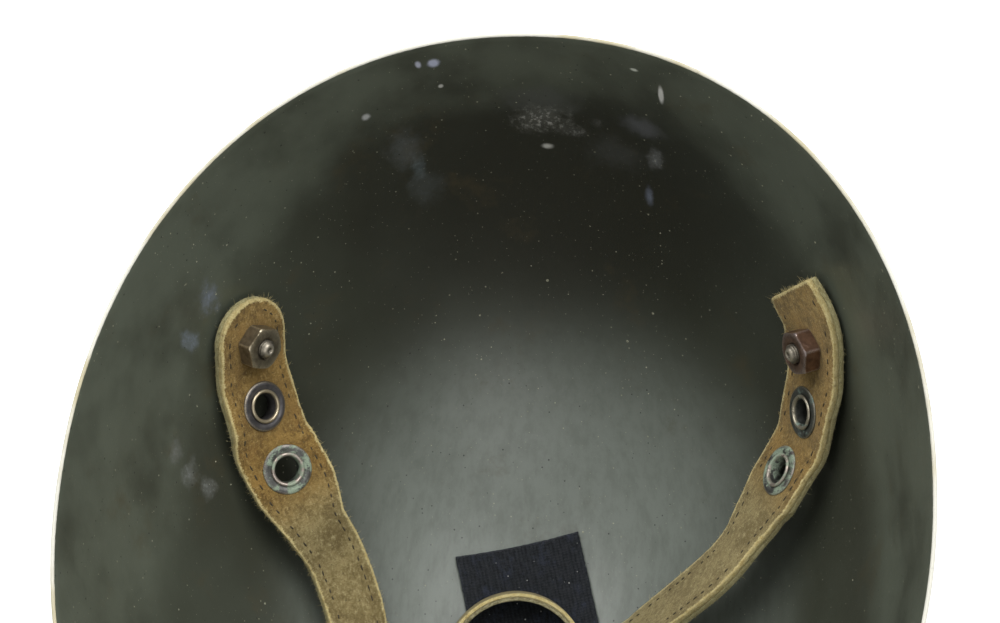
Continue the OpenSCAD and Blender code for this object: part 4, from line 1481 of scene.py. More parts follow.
@dataclass
class BoltSet:
    """One bolt with its domed head outside, its washer and its six-sided nut inside."""

    side: str
    seat: Place
    bowl: Bowl
    patina: Patina
    paint: Finish
    shank: float = 6.35 * MM
    head: float = 14 * MM
    head_high: float = 2.4 * MM
    washer: float = 15 * MM
    washer_thick: float = 2 * MM
    seat_gap: float = 0.4 * MM
    nut_foot: float = 6.3 * MM
    flats: float = 13.2 * MM
    nut_high: float = 5.5 * MM
    tip: float = 2 * MM

    def build(self) -> None:
        """Makes the bolt, its washer and its nut."""
        self.build_bolt()
        self.build_washer()
        self.build_nut()

    def build_bolt(self) -> None:
        """Turns the bolt, from the painted dome to the threaded tip."""
        back = self.bowl.steel_along(self.seat) + 0.15 * MM
        ball = (self.head**2 / 4 + self.head_high**2) / (2 * self.head_high)
        edge = asin(self.head / 2 / ball)
        dome = [(ball * sin(a), -back - self.head_high + ball - ball * cos(a), 0.1)
                for a in np.linspace(0, edge, 12)]
        dome[0] = (0.0, dome[0][1], 0.1)
        dome[-1] = (self.head / 2 - 0.1 * MM, -back - 0.35 * MM, 0.3)
        under = [(self.head / 2, -back - 0.15 * MM, 0.3), (self.head / 2 - 0.15 * MM, -back, 0.0)]
        r, top = self.shank / 2, self.nut_foot + self.nut_high + self.tip
        body = [(r, -back, 0.0), (r, self.nut_foot, 0.0)]
        z = self.nut_foot + self.nut_high - 0.6 * MM
        for _ in range(2):
            body += [(r - SLACK, z, 0.5), (r - 0.34 * MM, z + 0.32 * MM, 0.0),
                     (r - SLACK, z + 0.64 * MM, 0.5)]
            z += 0.72 * MM
        end = [(r - 0.5 * MM, top - 1.0 * MM, 0.4), (r - 1.05 * MM, top - 0.45 * MM, 0.6),
               (r - 1.5 * MM, top, 1.0), (1.0 * MM, top, 0.9), (0.75 * MM, top - 0.6 * MM, 0.0),
               (0.0, top - 0.9 * MM, 0.0)]
        obj = lathe(f"{self.side}_domed_bolt", self.seat, dome + under + body + end, 72)
        metal = AgedMetal(f"{self.side}_bolt_metal", (0.2, 0.18, 0.14), (0.5, 0.45, 0.36),
                          (0.1, 0.07, 0.05), 0.25)
        obj.data.materials.append(metal.material())
        obj.data.materials.append(self.paint)
        outer = self.seat.point - 0.9 * back * self.seat.facing
        for polygon in obj.data.polygons:
            if (np.array(polygon.center) - outer) @ self.seat.facing < 0:
                polygon.material_index = 1
        settle(obj, self.paint, "shell", "olive_paint", f"{self.side}_bolt")

    def build_washer(self) -> None:
        """Turns the washer between the wall and the leather."""
        inner, outer = self.shank / 2 + 0.1 * MM, self.washer / 2
        low, high, soft = self.seat_gap, self.seat_gap + self.washer_thick - 0.05 * MM, 0.25 * MM
        profile = [(inner, low, 0), (outer - soft, low, 0.3), (outer, low + soft, 0.8),
                   (outer, high - soft, 0.8), (outer - soft, high, 0.4), (inner, high, 0)]
        obj = lathe(f"{self.side}_wall_washer", self.seat, profile)
        metal = aged(f"{self.side}_washer_metal", Patina.GREY)
        settle(obj, metal, "shell", "brown_steel", f"{self.side}_bolt_washer")

    def build_nut(self) -> None:
        """Makes the nut: six flats, chamfered corners and a threaded bore."""
        count = 96
        turn = round_steps(count)
        off_flat = (np.degrees(turn) % 60) - 30
        corner = self.flats / 2 / cos(radians(30))
        hexagon = np.minimum(self.flats / 2 / np.cos(np.radians(off_flat)), corner - 0.16 * MM)
        bore, top = self.shank / 2 + 0.05 * MM, self.nut_high
        rows = [(np.minimum(hexagon, corner - chamfer * MM), z, 0.55 if chamfer else 0.12) for z, chamfer in (
            (0.0, 0.35), (0.3 * MM, 0.0), (0.5 * MM, 0.0), (top * 0.5, 0.0), (top - 0.75 * MM, 0.0),
            (top - 0.45 * MM, 0.12), (top - 0.12 * MM, 0.62), (top, 0.95))]
        rows += [(np.full(count, bore + more * MM), z, mask) for more, z, mask in (
            (0.75, top, 0.2), (0.2, top - 0.3 * MM, 0.5), (0.0, top - 0.6 * MM, 0.0), (0.0, 0.0, 0.0))]
        local, rub = [], []
        for radius, z, mask in rows:
            local += [(r * cos(a), r * sin(a), z + self.nut_foot) for r, a in zip(radius, turn)]
            sharp = np.exp(-((corner - radius) / (0.35 * MM)) ** 2) * 0.6
            rub += list(np.clip(mask + sharp, 0, 1))
        faces = ring_faces(rings_of(len(rows), count), True)
        obj = make_mesh(f"{self.side}_hexagon_nut", self.seat.spread(np.array(local)), faces, rub=rub)
        self.sharpen(obj)
        metal = aged(f"{self.side}_nut_metal", self.patina, 0.36)
        settle(obj, metal, "shell", "brown_steel", f"{self.side}_nut")

    @staticmethod
    def sharpen(obj: Piece, angle: float = 24.0) -> None:
        """Marks the edges that turn sharply.

        Args:
            obj: The piece.
            angle: The turn in degrees above which an edge is sharp.
        """
        work = bmesh.new()
        work.from_mesh(obj.data)
        for edge in work.edges:
            if len(edge.link_faces) == 2 and degrees(edge.calc_face_angle(0.0)) > angle:
                edge.smooth = False
        work.to_mesh(obj.data)
        work.free()


@dataclass
class Eyelet:
    """A barrel with a rolled lip, and the flat washer under the lip."""

    name: str
    place: Place
    patina: Patina
    bore: float = 8.8 * MM
    lip: float = 11.4 * MM
    washer: float = 16.8 * MM
    sheet: float = 0.6 * MM
    leather: float = 3.8 * MM

    def build(self) -> None:
        """Makes the barrel and the washer."""
        r0, lip, t = self.bore / 2, self.lip / 2, self.sheet
        front = self.leather + t
        middle, roll = (r0 + 0.12 * MM + lip) / 2, (lip - r0 - 0.12 * MM) / 2
        over = [(middle + roll * cos(a), front + SLACK + t * sin(a), 0.9)
                for a in np.radians(np.arange(0, 181, 15))]
        profile = [(r0, -t, 0.2), (lip + 0.85 * MM, -t, 0.2), (lip + 1.0 * MM, -0.15 * MM, 0.2),
                   (r0 + t, 0.0, 0.0), (r0 + t, front, 0.0), *over, (r0, front - 0.25 * MM, 0.5),
                   (r0, front * 0.5, 0.0)]
        barrel = lathe(f"{self.name}_rolled_eyelet", self.place, profile, 72)
        settle(barrel, aged(f"{self.name}_brass", self.patina, 0.38), "shell", "aged_brass", self.name)
        r1 = self.washer / 2
        inner, low, high = r0 + t + 0.1 * MM, self.leather + SLACK, self.leather + t
        ring = [(inner, low, 0.0), (r1 - 0.1 * MM, low, 0.1), (r1, low + 0.12 * MM, 0.45),
                (r1 - 0.2 * MM, low + 0.34 * MM, 0.55), (r1 - 0.6 * MM, high - 0.08 * MM, 0.45),
                (r1 - 1.1 * MM, high + 0.03 * MM, 0.3), (r1 - 1.6 * MM, high - 0.04 * MM, 0.05),
                (lip + 0.6 * MM, high - 0.24 * MM, 0.0), (lip + 0.2 * MM, high - 0.32 * MM, 0.0),
                (inner, high - 0.32 * MM, 0.0)]
        washer = lathe(f"{self.name}_flat_washer", self.place, ring, 72)
        brass = aged(f"{self.name}_washer_brass", self.patina)
        settle(washer, brass, "shell", "aged_brass", f"{self.name}_washer")


@dataclass
class Strap:
    """A strap of two plies, from its bolt over its eyelets and its bend to its lower end."""

    side: str
    layout: Layout
    ply: float = 1.9 * MM
    half: float = 14 * MM
    flat_run: float = 9.4 * MM
    round_end: float = 15.5 * MM
    cut_end: float = 21 * MM
    turn_run: float = 4 * MM
    end_turn: float = radians(34)
    end_lean: float = radians(10)
    lap: float = 16 * MM
    wire_gap: float = 1.68 * MM
    bolt_hole: tuple[float, float] = (3.3 * MM, 7.6 * MM)
    eyelet_hole: tuple[float, float] = (5.15 * MM, 9.2 * MM)
    leather: Finish | None = None
    backing: Finish | None = None
    thread: Finish | None = None

    def hanger_line(self) -> tuple[list, list]:
        """Lines out the clamped upper length, down to the bend.

        Returns:
            Points and facings.
        """
        places = self.layout.hanger(self.side)
        first, last = places[0], places[-1]
        points, facings = [first.ahead(-self.round_end).point], [first.facing]
        if self.side == "right":
            middle = first.turned(self.turn_run, self.end_turn / 2)
            foot = middle.turned(self.flat_run - self.turn_run, self.end_turn / 2)
            tip = foot.leant(self.end_lean)
            near, far = tip.ahead(-2 * MM), first.ahead(2 * MM)
            bend = easy_curve(near, far, 24)
            points = [tip.ahead(-(self.cut_end - self.flat_run)).point, near.point, *bend[0], far.point]
            facings = [tip.facing, tip.facing, *bend[1], first.facing]
        for place, after in zip(places, places[1:]):
            near, far = place.ahead(self.flat_run), after.ahead(-self.flat_run)
            bend = easy_curve(near, far)
            points += [near.point, *bend[0], far.point]
            facings += [near.facing, *bend[1], far.facing]
        points.append(last.ahead(self.layout.bend_run).point)
        facings.append(last.facing)
        return points, facings

    def knots(self) -> list[tuple[Rows, Rows]]:
        """Lines out the lower length, from the bend on.

        Returns:
            Point and facing of each knot.
        """
        bend = self.bend()
        bowl = self.layout.bowl
        lead = {"left": 8, "right": 5, "nape": 0}[self.side] * MM
        knots = [(bend.ahead(run).point, bend.facing) for run in (0.15 * MM, lead) if run]
        route = ()
        if self.side == "left":
            route = ((-0.63, 0.045, 10, (0.5, -0.22, 0.83)), (-0.56, -0.09, 8, (0.52, -0.06, 0.84)),
                     (-0.53, -0.21, 5.5, (0.57, 0.12, 0.8)), (-0.525, -0.32, 5, (0.62, 0.28, 0.72)),
                     (-0.515, -0.42, 7, (0.61, 0.42, 0.67)))
        elif self.side == "right":
            route = ((0.618, 0.043, 16.2, (-0.81, 0.24, 0.53)), (0.324, -0.083, 11, (-0.48, 0.51, 0.71)),
                     (0.24, -0.113, 10.8, (-0.56, 0.7, 0.43)))
        knots += [(bowl.off_wall(u, v, gap * MM), unit(n)) for u, v, gap, n in route]
        if self.side == "right":
            end = ChinCup(self.layout).side_place(1, 2 * self.ply, 0.12)
            knots += [(end.ahead(run * MM, up * MM).point, end.facing)
                      for run, up in ((-11.5, -0.5), (-7.5, 0.0), (7.5, 0.0))]
        elif self.side == "nape":
            n = self.layout.nape_facing(0.052)
            way = unit((0, n[2], -n[1]))
            knots.append((bend.point + self.layout.nape_low * way, n))
        return knots

    def bend(self) -> Place:
        """The line on which the strap bends."""
        return self.layout.hanger(self.side)[-1].ahead(self.layout.bend_run)

    def track(self) -> Track:
        """The whole strap's line, on its wall side."""
        lines = zip(self.hanger_line(), knot_curve(self.knots()))
        return Track.through(*(np.r_[upper, lower] for upper, lower in lines), soften=40, turn=110)

    def widths(self, track: Track, runs: Rows) -> tuple[Rows, Rows]:
        """Half widths on the left and the right at some runs.

        Args:
            track: The strap's line.
            runs: Where they are wanted.

        Returns:
            Left and right half widths.
        """
        bend, end = track.run_of(self.bend().point), track.length
        if self.side == "left":
            left = [(0, 14), (bend - 5 * MM, 14), (bend + 1 * MM, 12.6), (bend + 9 * MM, 10.2), (end, 10)]
            right = [(0, 14), (bend - 6 * MM, 14), (bend + 8 * MM, 11), (bend + 20 * MM, 10), (end, 10)]
        elif self.side == "right":
            left, right = ([(0, 13), (2 * MM, 13.6), (4 * MM, 14), (bend - 5 * MM, 14), (bend, at_bend),
                            (bend + 14 * MM, 10.5), (end - 26 * MM, 10), (end - 19 * MM, 8.2),
                            (end - 13 * MM, 6.6), (end, 5.8)] for at_bend in (12, 12.8))
        else:
            left = right = [(0, 14), (bend - 4 * MM, 14), (bend, 11), (bend + 4 * MM, 10), (end, 10)]
        halves = []
        for pairs in (left, right):
            places, sizes = np.array(pairs).T
            fine = np.interp(runs, places, sizes * MM)
            average(fine, 6)
            halves.append(fine)
        if self.side != "right":
            back = np.clip((self.half - runs) / self.half, 0, 1)
            rounded = self.half * np.sqrt(1 - back**2)
            halves = [np.minimum(h, rounded) for h in halves]
        return halves[0], halves[1]

    def holes(self, cut: Cut, track: Track) -> list[Triple]:
        """Cuts the holes for the bolt and the eyelets.

        Args:
            cut: The ply's flat shape.
            track: The ply's line without a fold.

        Returns:
            Width, run and radius of the spots that the hardware has rubbed.
        """
        spots = []
        for k, place in enumerate(self.layout.hanger(self.side)):
            run = track.run_of(place.point)
            hole, rubbed = self.eyelet_hole if k else self.bolt_hole
            cut.add_disc(0.0, run, hole)
            spots.append((0.0, run, rubbed))
        return spots

    def folded(self, track: Track, wire: Place) -> Track:
        """The face ply's middle line, taken round the wire and back under the strap.

        Args:
            track: The strap's line on its wall side.
            wire: The wire, at the middle of the strap's thickness.

        Returns:
            The longer line of the face ply.
        """
        face, back = track.shifted(1.5 * self.ply), track.shifted(0.5 * self.ply)
        radius = self.wire_gap + self.ply / 2
        stop = face.run_of(wire.point - 7.5 * MM * wire.heading + self.ply / 2 * wire.facing)
        down = face.part(0, stop)
        ring = [wire.leant(a, radius) for a in np.radians(np.arange(-22, 203, 7.5))]
        under = back.run_of(wire.point - 7.5 * MM * wire.heading - self.ply / 2 * wire.facing)
        rest = back.part(under - self.lap, under)
        home = Place.of(rest.points[-1], -rest.facings[-1], rest.points[0] - rest.points[-1])
        lead = easy_curve(Place.of(down.points[-1], down.facings[-1], wire.heading), ring[0])
        bend = easy_curve(ring[-1], home)
        points = [down.points, lead[0], [p.point for p in ring], bend[0], rest.points[::-1]]
        facings = [down.facings, lead[1], [p.facing for p in ring], bend[1], -rest.facings[::-1]]
        return Track.through(np.concatenate(points), np.concatenate(facings), soften=3)

    def wire(self, track: Track) -> Place:
        """Finds the cross wire in the strap's fold, on its joint's own axis.

        Args:
            track: The strap's line on its wall side.

        Returns:
            The wire's middle, facing as the strap's end does.
        """
        facing, across = (rows[0] for rows in track.at(np.array([track.length]))[1:])
        joints = {row["name"]: row for row in frame["joints"]}
        buckled = self.side == "left"
        joint = joints["buckle_swing" if buckled else "nape_loop_swing"]
        point, axle = np.array(joint["pos_m"]), unit(np.array(joint["axis"]))
        axle = axle * copysign(1.0, axle @ across)
        ahead = np.array(joints["roller_spin"]["pos_m"]) - point if buckled else np.cross(facing, axle)
        return Place.of(point, np.cross(axle, ahead), ahead)

    def build(self) -> None:
        """Makes both plies, the stitching and the loose fibres."""
        track = self.track()
        bend = self.bend()
        ends = (bend.ahead(-4 * MM), bend.ahead(4 * MM))
        folded = self.side != "right"
        wire = self.wire(track) if folded else None
        pieces = []
        for kind, depth, seed in (("face", 1.5, 3), ("backing", 0.5, 8)):
            middle = track.shifted(depth * self.ply)
            line = self.folded(track, wire) if folded and kind == "face" else middle
            stop = line.length
            if folded and kind == "backing":
                stop = line.run_of(wire.point - (7.9 * MM + self.lap) * wire.heading)
            runs = np.linspace(0, stop, int(stop / (0.5 * MM)))
            left, right = self.widths(middle, np.minimum(runs, middle.length))
            if folded and kind == "face":
                tail = runs > middle.length - 2 * MM
                left[tail] = right[tail] = 10 * MM
            cut = Cut.between(runs, left, right, seed + len(self.side))
            if kind == "backing":
                cut.outline = cut.outline + Cut.inward(cut.outline) * 0.12 * MM
            spots = self.holes(cut, middle)
            if self.side == "left" and kind == "face":
                radius, spare = 2.57 * MM, 5.5 * MM
                hub = line.run_of(wire.point + radius * wire.facing)
                cut.add_slot(3.5 * MM, hub - spare, hub + pi * radius + spare)
            if self.side == "right":
                end = middle.run_of(ChinCup(self.layout).side_place(1, 2 * self.ply, 0.12).point)
                for step in RIVET_STEPS:
                    cut.add_disc(0.0, end + step, RIVET_HOLE)
            name = f"{self.side}_{kind}"
            ply = Ply(f"{name}_leather", line, cut, self.ply - SLACK, seed * 7 + len(self.side))
            finish = self.leather if kind == "face" else self.backing
            nodes = (f"{self.side}_hanger_{kind}", f"{self.side}_strap_{kind}")
            pieces.append(settle(ply.build(spots), finish, None, f"leather_{kind}", *nodes))
            fibres = ply.fur(f"{name}_fibres", int(line.length * 9000))
            pieces.append(settle(fibres, finish, None, f"leather_{kind}"))
            if kind == "face":
                pieces.append(self.sew(ply, middle))
        for piece in pieces:
            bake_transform(piece)

    def sew(self, ply: Ply, middle: Track) -> Piece:
        """Sews both edges of the face ply, round the rounded end where there is one.

        Args:
            ply: The face ply.
            middle: Its line without a fold.

        Returns:
            The thread.
        """
        stop = middle.length - (9 * MM if self.side != "right" else 20 * MM)
        runs = np.linspace(4 * MM, stop, 260)
        left, right = self.widths(middle, runs)
        inset = 3.4 * MM
        lines = [np.stack([-(left - inset), runs], 1), np.stack([right - inset, runs], 1)]
        if self.side != "right":
            turn = np.radians(np.linspace(180, 360, 30))
            r = self.half - inset
            bow = np.stack([r * np.cos(turn), self.half + r * np.sin(turn)], 1)
            keep = runs > self.half
            lines = [np.r_[lines[0][keep][::-1], bow, lines[1][keep]]]
        thread = ply.stitches(f"{self.side}_stitching", lines)
        return settle(thread, self.thread, None, "leather_face")


@dataclass
class ChinCup:
    """The chin cup, an open oval band of two plies that stands on the crown, with its rivets."""

    layout: Layout
    radius: float = 24 * MM
    straight: float = 18 * MM
    band: float = 16 * MM
    ply: float = 1.4 * MM
    lift: float = 2.55 * MM
    middle_x: float = -0.098 * 0.245 / 2
    middle_y: float = -0.177 * 0.282 / 2
    up: Triple = (0.17, -0.3, 0.94)
    rivet: float = 3 * MM
    rivet_head: float = 6.5 * MM
    rivet_high: float = 1.1 * MM

    def base(self, x: float, y: float) -> float:
        """Finds where the band begins over a point of the plan.

        Args:
            x: The point, to the right.
            y: The point, to the brow.

        Returns:
            The distance along the band's lean.
        """
        lean, along = unit(self.up), 0.0
        for _ in range(5):
            p = np.array([x, y, 0.0]) + along * lean
            along = (self.layout.bowl.floor(p[0], p[1]) + self.lift) / lean[2]
        return along

    def side_place(self, side: int, out: float, climb: float) -> Place:
        """Where a strap or the billet lies on the cup's straight side.

        Args:
            side: 1 for the right side and -1 for the left.
            out: How far its wall side is off the cup.
            climb: How much its heading climbs.

        Returns:
            The middle of the lap, with the strap's own frame.
        """
        lean = unit(self.up)
        x = self.middle_x + side * (self.radius + self.ply)
        base = self.base(x, self.middle_y) + self.band / 2
        n = -side * unit(np.cross(lean, (0, -1, 0)))
        point = np.array([x, self.middle_y, 0.0]) + base * lean - out * n
        return Place.of(point, n, (0, -1, climb))

    def oval(self, radius: float, steps: int = 200) -> Rows:
        """Finds the points of the oval's plan, evenly spaced.

        Args:
            radius: Radius of its round ends.
            steps: How many points there are.

        Returns:
            The points.
        """
        turn = np.radians(np.linspace(0, 180, 60))
        bow = np.stack([radius * np.cos(turn), radius * np.sin(turn) + self.straight / 2], 1)
        return even_loop(np.r_[bow, -bow] + (self.middle_x, self.middle_y), steps)

    def build(self, leather: Finish, backing: Finish) -> None:
        """Makes both plies of the band and the rivets on its two straight sides.

        Args:
            leather: Finish of the outer ply.
            backing: Finish of the inner ply.
        """
        outer, inner = self.oval(self.radius + self.ply), self.oval(self.radius - self.ply)
        bases = np.maximum([self.base(*p) for p in outer], [self.base(*p) for p in inner])
        for kind, start, finish, slot in (("outer", self.radius, leather, "leather_face"),
                                          ("inner", self.radius - self.ply, backing, "leather_backing")):
            obj = self.band_mesh(f"chin_cup_{kind}_leather", start + SLACK, start + self.ply - SLACK, bases)
            settle(obj, finish, "right_strap", slot, f"chin_cup_{kind}_ply")
        brass = aged("rivet_brass", Patina.PLUM, 0.4)
        for node, side, lap, climb in (("chin_cup_rivets", 1, 3.8 * MM, 0.12),
                                       ("billet_rivets", -1, 2.4 * MM, 0.3)):
            self.rivets(node, self.side_place(side, lap, climb), lap + 2 * self.ply, brass)

    def band_mesh(self, name: str, near: float, far: float, bases: Rows) -> Piece:
        """Makes one ply of the band, with rounded, ragged edges.

        Args:
            name: The piece's name.
            near: Radius of its inner side.
            far: Radius of its outer side.
            bases: Where the band begins round the oval.

        Returns:
            The ply, with its masks stored.
        """
        lean = unit(self.up)
        inside, outside = self.oval(near), self.oval(far)
        count, half = len(inside), (far - near) / 2
        section = [(-1, u, 0.0) for u in np.linspace(0.03, 0.97, 15)]
        section += [(-0.7, 0.995, 1.0), (-0.2, 1.0, 1.0), (0.2, 1.0, 1.0), (0.7, 0.995, 1.0)]
        section += [(1, u, 0.0) for u in np.linspace(0.97, 0.03, 15)]
        section += [(0.7, 0.005, 1.0), (0.2, 0.0, 1.0), (-0.2, 0.0, 1.0), (-0.7, 0.005, 1.0)]
        runs = np.linspace(0, 1, count, endpoint=False) * 2 * pi
        round_trip = np.stack([np.cos(runs), np.sin(runs)], 1) * 0.026
        points, lay, cut = [], [], []
        for k, (side, up, mask) in enumerate(section):
            share = (side + 1) / 2
            wave = rough_at(round_trip, 240, k * 0.11) * 0.05 * MM
            plan = inside * (1 - share) + outside * share + (outside - inside) / (2 * half) * wave[:, None]
            fray = rough_at(round_trip, 900, 3.0 + k * 0.6) * (0.16 * MM if mask else 0.03 * MM)
            along = bases + up * self.band - np.abs(fray) * (1 if up > 0.5 else -1)
            points.append(np.c_[plan, np.zeros(count)] + along[:, None] * lean)
            lay.append(np.c_[np.full(count, up * self.band), runs * 0.03, np.full(count, side * half)])
            cut.append(np.full(count, max(mask, exp(-min(up, 1 - up) * self.band / (0.9 * MM)) * 0.8)))
        faces = ring_faces(rings_of(len(section), count), True)
        points, lay, cut = (np.concatenate(rows) for rows in (points, lay, cut))
        return make_mesh(name, points, faces, lay=lay, cut=cut, free=np.ones(len(points)))

    def rivets(self, node: str, place: Place, depth: float, finish: Finish) -> None:
        """Turns the two rivets of one lap as one piece.

        Args:
            node: The solids that they stand for.
            place: The middle of the lap.
            depth: Thickness that they clamp.
            finish: Their metal.
        """
        r, head, high = self.rivet / 2, self.rivet_head / 2, self.rivet_high
        rise = [(head * cos(a), high * (0.35 + 0.65 * sin(a)), 0.2 + 0.7 * sin(a))
                for a in np.radians(np.linspace(8, 82, 8))]
        top = [(x, depth + z, m) for x, z, m in rise] + [(0.0, depth + high, 0.95)]
        bottom = [(x, -z, m) for x, z, m in rise[::-1]]
        profile = [(0.0, -high, 0.95), *bottom, (head, 0.0, 0.1), (r, 0.0, 0.0), (r, depth, 0.0),
                   (head, depth, 0.1), *top]
        pair = join([lathe(f"{node}_{k}", place.ahead(RIVET_STEPS[k]), profile, 40) for k in (0, 1)])
        pair.name = f"{node}_domed"
        settle(pair, finish, "right_strap", "aged_brass", node)


@dataclass
class Billet:
    """The leather tongue on the cup's far side, with its three holes."""

    layout: Layout
    cup: ChinCup
    leather: Finish
    half: float = 6 * MM
    thick: float = 2.4 * MM

    def build(self) -> None:
        """Makes the tongue from its lap on the cup to its point."""
        start = self.cup.side_place(-1, self.thick, 0.3)
        a, b = self.layout.bowl.half_axes(self.layout.bowl.steel)
        knots = [(start.ahead(run * MM, up * MM).point, start.facing)
                 for run, up in ((7.5, 0.0), (12.5, -0.5))]
        for x, y, gap, n in ((-26, -31.5, 6.5, (0.82, 0.26, 0.3)), (-23, -39.5, 6, (0.6, 0.4, 0.6)),
                             (-15.5, -48, 4.5, (0.32, 0.52, 0.78)), (-8, -51.5, 4, (0.18, 0.56, 0.8))):
            u, v = (self.cup.middle_x + x * MM) / a, (self.cup.middle_y + y * MM) / b
            knots.append((self.layout.bowl.off_wall(u, v, gap * MM), unit(n)))
        points, facings = knot_curve(knots)
        wall = Track.through(np.r_[[start.ahead(-7.5 * MM).point], points], np.r_[[start.facing], facings])
        track = wall.shifted(self.thick / 2)
        length = track.length + 4 * MM
        runs = np.linspace(0, length, 160)
        taper = np.clip((length - runs) / (7 * MM), 0, 1)
        half = self.half * np.sqrt(np.clip(1 - (1 - taper) ** 2.2, 0.02, 1))
        cut = Cut.between(runs, half, half, 21, 0.15 * MM)
        for run in (3 * MM, 12 * MM, *(track.length - back * MM for back in (9.0, 17.5, 26.0))):
            cut.add_disc(0.0, run, RIVET_HOLE)
        ply = Ply("billet_leather", track, cut, self.thick - SLACK, 31, 1.1 * MM)
        settle(ply.build(), self.leather, "right_strap", "leather_face", "chin_billet")
        settle(ply.fur("billet_fibres", 260, 0.9 * MM), self.leather, "right_strap", "leather_face")


@dataclass
class WireFrame:
    """A closed frame of bent wire."""

    name: str
    node: str
    body: str
    place: Place
    finish: Finish
    length: float
    wire: float = 3 * MM
    reach: float = 12 * MM
    corner: float = 2.2 * MM

    def build(self) -> None:
        """Bends the wire into its frame."""
        line = even_loop(round_box(self.reach, 0.0, self.length, self.corner, 8), 150)
        line = np.c_[line, np.zeros(len(line))]
        ahead = rows_unit(np.roll(line, -1, 0) - np.roll(line, 1, 0))
        ups = np.tile((0.0, 0.0, 1.0), (len(line), 1))
        radius, basis = np.full(len(line), self.wire / 2 - SLACK), self.place.basis
        sides = np.cross(ahead, ups) @ basis
        obj = sweep(self.name, self.place.spread(line), sides, ups @ basis, radius, True, 24)
        settle(obj, self.finish, self.body, "grey_wire", self.node)


@dataclass
class Buckle:
    """The buckle in the left strap's fold: frame, roller and prong."""

    wire: Place
    finish: Finish
    length: float = 20 * MM
    roller: float = 5 * MM
    prong: float = 2.4 * MM

    def build(self) -> None:
        """Makes the frame, the roller and the prong."""
        WireFrame("buckle_wire", "buckle_frame", "buckle", self.wire, self.finish, self.length).build()
        self.build_roller()
        self.build_prong()

    def build_roller(self) -> None:
        """Rolls the sheet-metal sleeve on the far wire."""
        far = self.wire.ahead(self.length)
        axis = Place.of(far.point, far.across, far.heading)
        half, outer, inner = 9.9 * MM, self.roller / 2, WIRE_BORE
        profile = [(inner, -half, 0.2), (outer - 0.3 * MM, -half, 0.5), (outer, -half + 0.3 * MM, 0.7)]
        profile += [(outer - 0.03 * MM, z * MM, 0.25) for z in np.linspace(-9, 9, 7)]
        profile += [(outer, half - 0.3 * MM, 0.7), (outer - 0.3 * MM, half, 0.5), (inner, half, 0.2)]
        obj = lathe("buckle_sleeve", axis, profile, 48)
        settle(obj, self.finish, "roller", "grey_wire", "buckle_roller")

    def build_prong(self) -> None:
        """Bends the prong: a flattened eye round the wire and a tapered pin over the roller."""
        eye = Place.of(self.wire.point, self.wire.across, self.wire.heading)
        half, inner, outer = 2.75 * MM, WIRE_BORE, 2.68 * MM
        profile = [(inner, -half, 0.2), (outer - 0.25 * MM, -half, 0.4), (outer, -half + 0.25 * MM, 0.6),
                   (outer, half - 0.25 * MM, 0.6), (outer - 0.25 * MM, half, 0.4), (inner, half, 0.2)]
        hub = lathe("buckle_pin", eye, profile, 40)
        root, tip = 2.75 * MM, 3.8 * MM
        along = np.linspace(0, 21.3 * MM, 26)
        line = np.stack([0 * along, along, root + (tip - root) * along / (20 * MM)], 1)
        shrink = np.sqrt(np.clip(1 - (np.clip(along - 20.1 * MM, 0, None) / (1.25 * MM)) ** 2, 0.02, 1))
        radius = (self.prong / 2 - SLACK - 0.2 * MM * smooth_step(along / (20 * MM))) * shrink
        ways = np.array([(1.0, 0.0, 0.0), unit(np.cross((1.0, 0.0, 0.0), (0.0, 20 * MM, tip - root)))])
        sides, ups = (np.tile(way, (len(along), 1)) for way in ways @ self.wire.basis)
        pin = sweep("pin_rod", self.wire.spread(line), sides, ups, radius, False)
        settle(join([hub, pin]), self.finish, "prong", "grey_wire", "buckle_prong")


@dataclass
class CrownPatch:
    """The square of ribbed webbing stuck inside the crown."""

    bowl: Bowl
    width: float = 45 * MM
    length: float = 48 * MM
    thick: float = 1.5 * MM
    gap: float = 0.35 * MM
    turn: float = radians(15)
    middle: tuple[float, float] = (-6 * MM, 1 * MM)

    def build(self) -> None:
        """Lays the webbing on the crown, with ribs along it and frayed cut edges."""
        across, along = 76, 64
        xs = np.linspace(-self.width / 2, self.width / 2, across + 1)
        ys = np.linspace(-self.length / 2, self.length / 2, along + 1)
        grid = np.array([(x, y) for y in ys for x in xs])
        edge = np.minimum(self.width / 2 - np.abs(grid[:, 0]), self.length / 2 - np.abs(grid[:, 1]))
        fray = smooth_step(1 - edge / (1.2 * MM))
        pull = rough_at(grid, 700, 4.0) * 0.35 * MM * fray
        bent = grid - np.sign(grid) * np.abs(pull)[:, None] * (np.abs(grid) > 0.4 * self.width)
        rib = np.abs(np.sin(grid[:, 0] / (self.width / 32) * pi)) * 0.22 * MM
        lift = rough_at(grid, 60, 2.0) * 0.06 * MM
        top = self.thick - 0.28 * MM + rib - fray * 0.22 * MM + lift
        c, s = cos(self.turn), sin(self.turn)
        plan = bent @ np.array([[c, s], [-s, c]]) + self.middle
        floor = np.array([self.bowl.floor(x, y) for x, y in plan]) + self.gap
        count, row = len(grid), across + 1
        points = np.r_[np.c_[plan, floor + top], np.c_[plan, floor]]
        cells = [(j * row + i, j * row + i + 1, (j + 1) * row + i + 1, (j + 1) * row + i)
                 for j in range(along) for i in range(across)]
        rim = [*range(across), *[across + j * row for j in range(along)],
               *[along * row + i for i in range(across, 0, -1)], *[j * row for j in range(along, 0, -1)]]
        faces = cells + [tuple(i + count for i in c[::-1]) for c in cells]
        faces += [(b, a, a + count, b + count) for a, b in zip(rim, rim[1:] + rim[:1])]
        lay = np.r_[np.c_[grid, top], np.c_[grid, np.zeros(count)]]
        obj = make_mesh("crown_webbing", points, faces, lay=lay, cut=np.r_[fray, fray])
        settle(obj, Webbing().material(), "shell", "webbing", "crown_patch")


